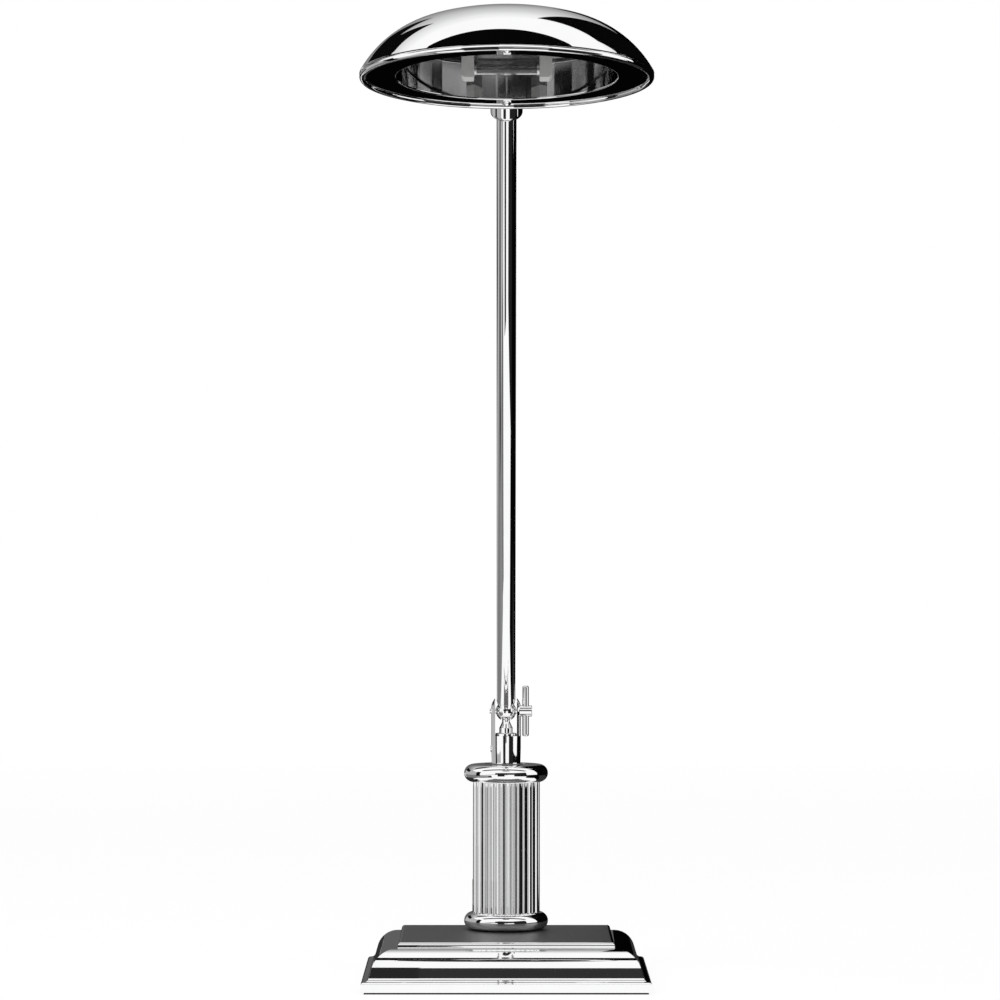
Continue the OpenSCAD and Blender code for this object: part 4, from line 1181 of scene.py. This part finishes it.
def panel(name, start, end, away, low, high, tone):
    """A standing card between two bearings, from the front towards the right, at a distance."""
    half = math.radians(end - start) / 2
    bearing = math.radians(start + end) / 2
    centre = (away * math.sin(bearing), -away * math.cos(bearing), (low + high) / 2)
    size = (2 * away * math.tan(half), high - low)
    card(name, centre, size, (90, 0, math.degrees(bearing)), tone)


def wedge(name, start, end, near, far, tone, rise):
    """A card on the floor between two bearings and two distances, wider at its far edge."""
    half = math.tan(math.radians(end - start) / 2)
    middle = -(near + far) / 2
    piece = sheet(name, (0, middle, rise * MM), 2 * near * half, far - near)
    select_where(piece, "VERT", lambda vertex: vertex.co.y < middle)
    widen(far / near, 1, (0, -far, 0))
    object_mode()
    placed(piece, turn((start + end) / 2, "Z"))
    set_up(piece, card_paint(name, tone))


# flat cards: name, centre and size in metres, turns in degrees, tone
CARDS = [
    ("front_flag", (0, -2.2, 0.76), (2.6, 0.9), (90, 0, 0), 0.03),
    ("front_low", (-0.01, -2.2, 0.08), (0.34, 0.16), (90, 0, 0), 0.17),
    ("front_shelf", (0, -1.13, 0.2), (2.6, 1.0), (0, 0, 0), 0.02),
    ("overhead_bar", (-0.1, -0.50, 1.54), (3.3, 0.40), (0, 0, -7), 0.002),
    ("back_right_low", (0.1925, 0.54, 0.475), (0.215, 0.95), (90, 0, 0), 0.001),
    ("back_right_flag", (0.77, 0.54, 1.1), (0.94, 2.2), (90, 0, 0), 0.002),
    ("right_flag", (1.12, 0.32, 0.75), (0.5, 1.5), (90, 0, 61), 0.002),
    ("back_left_flag", (-0.75, 0.54, 1.2), (0.6, 0.7), (90, 0, 0), 0.003),
    ("back_left_low", (-0.345, 0.54, 1.0), (0.21, 0.3), (90, 0, 0), 0.003),
    ("back_floor", (0.2, 1.65, 0.0022), (0.9, 1.1), (0, 0, 0), 0.001),
    ("back_floor_near", (0.15, 0.6, 0.0022), (0.8, 1.0), (0, 0, 0), 0.03),
    ("left_near_strip", (-0.13, 0.14, 0.0022), (0.06, 0.2), (0, 0, 0), 0.003),
]
# standing cards: name, first and last bearing from the front, distance, low, high, tone
PANELS = [
    ("left_line", -90, -76, 1.05, 0.0, 0.62, 0.004),
    ("front_left_dark", -23, -4, 1.05, 0.0, 0.62, 0.02),
    ("front_right_dark", 22, 58, 1.05, 0.0, 0.62, 0.015),
    ("right_black", 94, 125, 1.05, 0.0, 0.75, 0.001),
    ("left_grey", -150, -90, 1.1, 0.0, 0.62, 0.45),
    ("back_left_black", -150, -122, 0.9, 0.28, 0.5, 0.003),
    ("low_left_grey", -76, -42, 1.0, 0.0, 0.062, 0.42),
    ("low_right_dark", 58, 94, 1.0, 0.0, 0.062, 0.005),
]
# cards on the floor: name, first and last bearing, near, far, tone, rise in millimetres
WEDGES = [
    ("right_back_floor", 93, 178, 0.15, 2.4, 0.001, 1.2),
    ("right_floor", 58, 93, 0.2, 1.1, 0.002, 1.4),
    ("left_floor", -150, -88, 0.2, 1.1, 0.2, 1.2),
    ("left_front_floor", -88, -50, 0.2, 1.0, 0.25, 1.4),
    ("left_line_floor", -90, -76, 0.5, 1.05, 0.004, 1.6),
    ("left_strip", -50, -40, 0.22, 0.75, 0.003, 1.6),
    ("back_left_floor", -176, -155, 0.25, 1.6, 0.045, 1.4),
    ("front_right_floor", 22, 70, 0.4, 1.05, 0.015, 1.6),
    ("front_left_floor", -23, -4, 0.4, 1.05, 0.02, 1.6),
    ("left_mid_floor", -76, -42, 0.5, 1.05, 0.42, 1.8),
]
# tones of the sweep behind the lamp, upwards
BACK_TONES = [(0.0, 0.113), (0.1, 0.113), (0.25, 0.3), (0.4, 0.55), (0.65, 0.85), (0.9, 1.0)]


# soft lamps: name, place, size in metres, power in watts; all aim at the middle of the lamp
SOFT_LAMPS = [
    ("key_light", (-1.4, -1.6, 2.2), 1.6, 42.0),
    ("fill_light", (1.6, -1.4, 1.4), 1.8, 16.0),
    ("top_light", (0.0, 0.4, 2.6), 1.6, 22.0),
]
LAMP_MIDDLE = Vector((0, -0.15, 0.3))


def floor_paint(tone):
    """Pale paint that looks white to the camera, farther out the more, and in reflections."""
    finish = Finish("pale_floor")
    clouds = finish.noise(finish.place(), 6, 3, 0.5)
    paint = finish.node(
        "ShaderNodeBsdfPrincipled",
        {},
        {
            "Base Color": finish.blend(clouds, tinted(tone, 0.98), tone),
            "Roughness": 0.9,
            "Specular IOR Level": 0.2,
        },
    )
    white = finish.node("ShaderNodeEmission", {}, {"Color": (1, 1, 1), "Strength": 1.0})
    away = finish.far(finish.where())
    fade = Amount(finish, finish.ramp(away * 0.2, [(0.08, 0.86), (0.5, 1.0)]))
    seen, mirrored, through = finish.rays()
    factor = seen * fade + mirrored + through
    sockets = {0: factor, 1: paint.outputs[0], 2: white.outputs[0]}
    return finish.end(finish.node("ShaderNodeMixShader", {}, sockets))


def soft_world():
    """A soft white world: plain white to the camera and in reflections, dimmer as a light."""
    finish = Finish(world=bpy.data.worlds.new("studio_world"))
    soft, plain = (
        finish.node("ShaderNodeBackground", {}, {"Color": (1, 1, 1), "Strength": strength}).outputs[0]
        for strength in (0.55, 1.0)
    )
    seen, mirrored, through = finish.rays()
    sockets = {0: seen + mirrored + through, 1: soft, 2: plain}
    return finish.end(finish.node("ShaderNodeMixShader", {}, sockets), "ShaderNodeOutputWorld")


def soft_lamp(name, place, size, power):
    """A square lamp that polished metal doesn't mirror."""
    deselect()
    bpy.ops.object.light_add(type="AREA", location=place)
    lamp = bpy.context.view_layer.objects.active
    lamp.name = name
    lamp.data.energy = power
    lamp.data.size = size
    lamp.rotation_euler = (LAMP_MIDDLE - lamp.location).to_track_quat("-Z", "Y").to_euler()
    lamp.visible_glossy = False


class LAMP_OT_studio(bpy.types.Operator):
    """Sets up the pale floor, the soft light, the cards and the camera"""

    bl_idname = "lamp.studio"
    bl_label = "Studio"

    def execute(self, context):
        scene = context.scene
        floor = sheet("studio_floor", (0, 0, 0), 14, 14)
        floor.data.materials.append(floor_paint(scene.lamp_colours.floor))
        for flat in CARDS:
            card(*flat)
        for standing in PANELS:
            panel(*standing)
        for lying in WEDGES:
            wedge(*lying)
        card("back_sweep", (0, 2.0, 3.0), (9.0, 6.0), (90, 0, 0), 0.0, BACK_TONES)
        scene.world = soft_world()
        for lamp in SOFT_LAMPS:
            soft_lamp(*lamp)
        deselect()
        bpy.ops.object.camera_add(location=(-0.00396, -2.952, 0.3121), rotation=(math.pi / 2, 0, 0))
        camera = bpy.context.view_layer.objects.active
        camera.name = "camera"
        camera.data.lens = 162.0
        camera.data.sensor_width = 36.0
        camera.data.clip_start = 0.05
        camera.data.clip_end = 40.0
        scene.camera = camera
        scene.view_settings.view_transform = "Standard"
        return {"FINISHED"}


class LAMP_PT_panel(bpy.types.Panel):
    """Lists the sizes, the colours and the steps that model the lamp"""

    bl_idname = "LAMP_PT_panel"
    bl_label = "Column Desk Lamp"
    bl_space_type = "VIEW_3D"
    bl_region_type = "UI"
    bl_category = "Desk Lamp"

    def draw(self, context):
        layout = self.layout
        for group in (context.scene.lamp_sizes, context.scene.lamp_colours):
            box = layout.box()
            for name in group.bl_rna.properties.keys():
                if name not in {"rna_type", "name"}:
                    box.prop(group, name)
        for step in STEPS:
            layout.operator(step.bl_idname)


STEPS = (
    LAMP_OT_finishes,
    LAMP_OT_base_moulding,
    LAMP_OT_collars,
    LAMP_OT_fluted_column,
    LAMP_OT_stem,
    LAMP_OT_lead_nipple,
    LAMP_OT_clamp,
    LAMP_OT_arm,
    LAMP_OT_dome,
    LAMP_OT_reflector,
    LAMP_OT_holders,
    LAMP_OT_tube,
    LAMP_OT_small_pieces,
    LAMP_OT_frame_finishes,
    LAMP_OT_studio,
)
CLASSES = (LampSizes, LampColours) + STEPS + (LAMP_PT_panel,)


def register():
    for item in CLASSES:
        bpy.utils.register_class(item)
    bpy.types.Scene.lamp_sizes = bpy.props.PointerProperty(type=LampSizes)
    bpy.types.Scene.lamp_colours = bpy.props.PointerProperty(type=LampColours)


def unregister():
    del bpy.types.Scene.lamp_colours
    del bpy.types.Scene.lamp_sizes
    for item in reversed(CLASSES):
        bpy.utils.unregister_class(item)


def main():
    """Models the lamp step by step."""
    register()
    for step in STEPS:
        group, name = step.bl_idname.split(".")
        getattr(getattr(bpy.ops, group), name)()
    deselect()


if __name__ == "__main__":
    main()
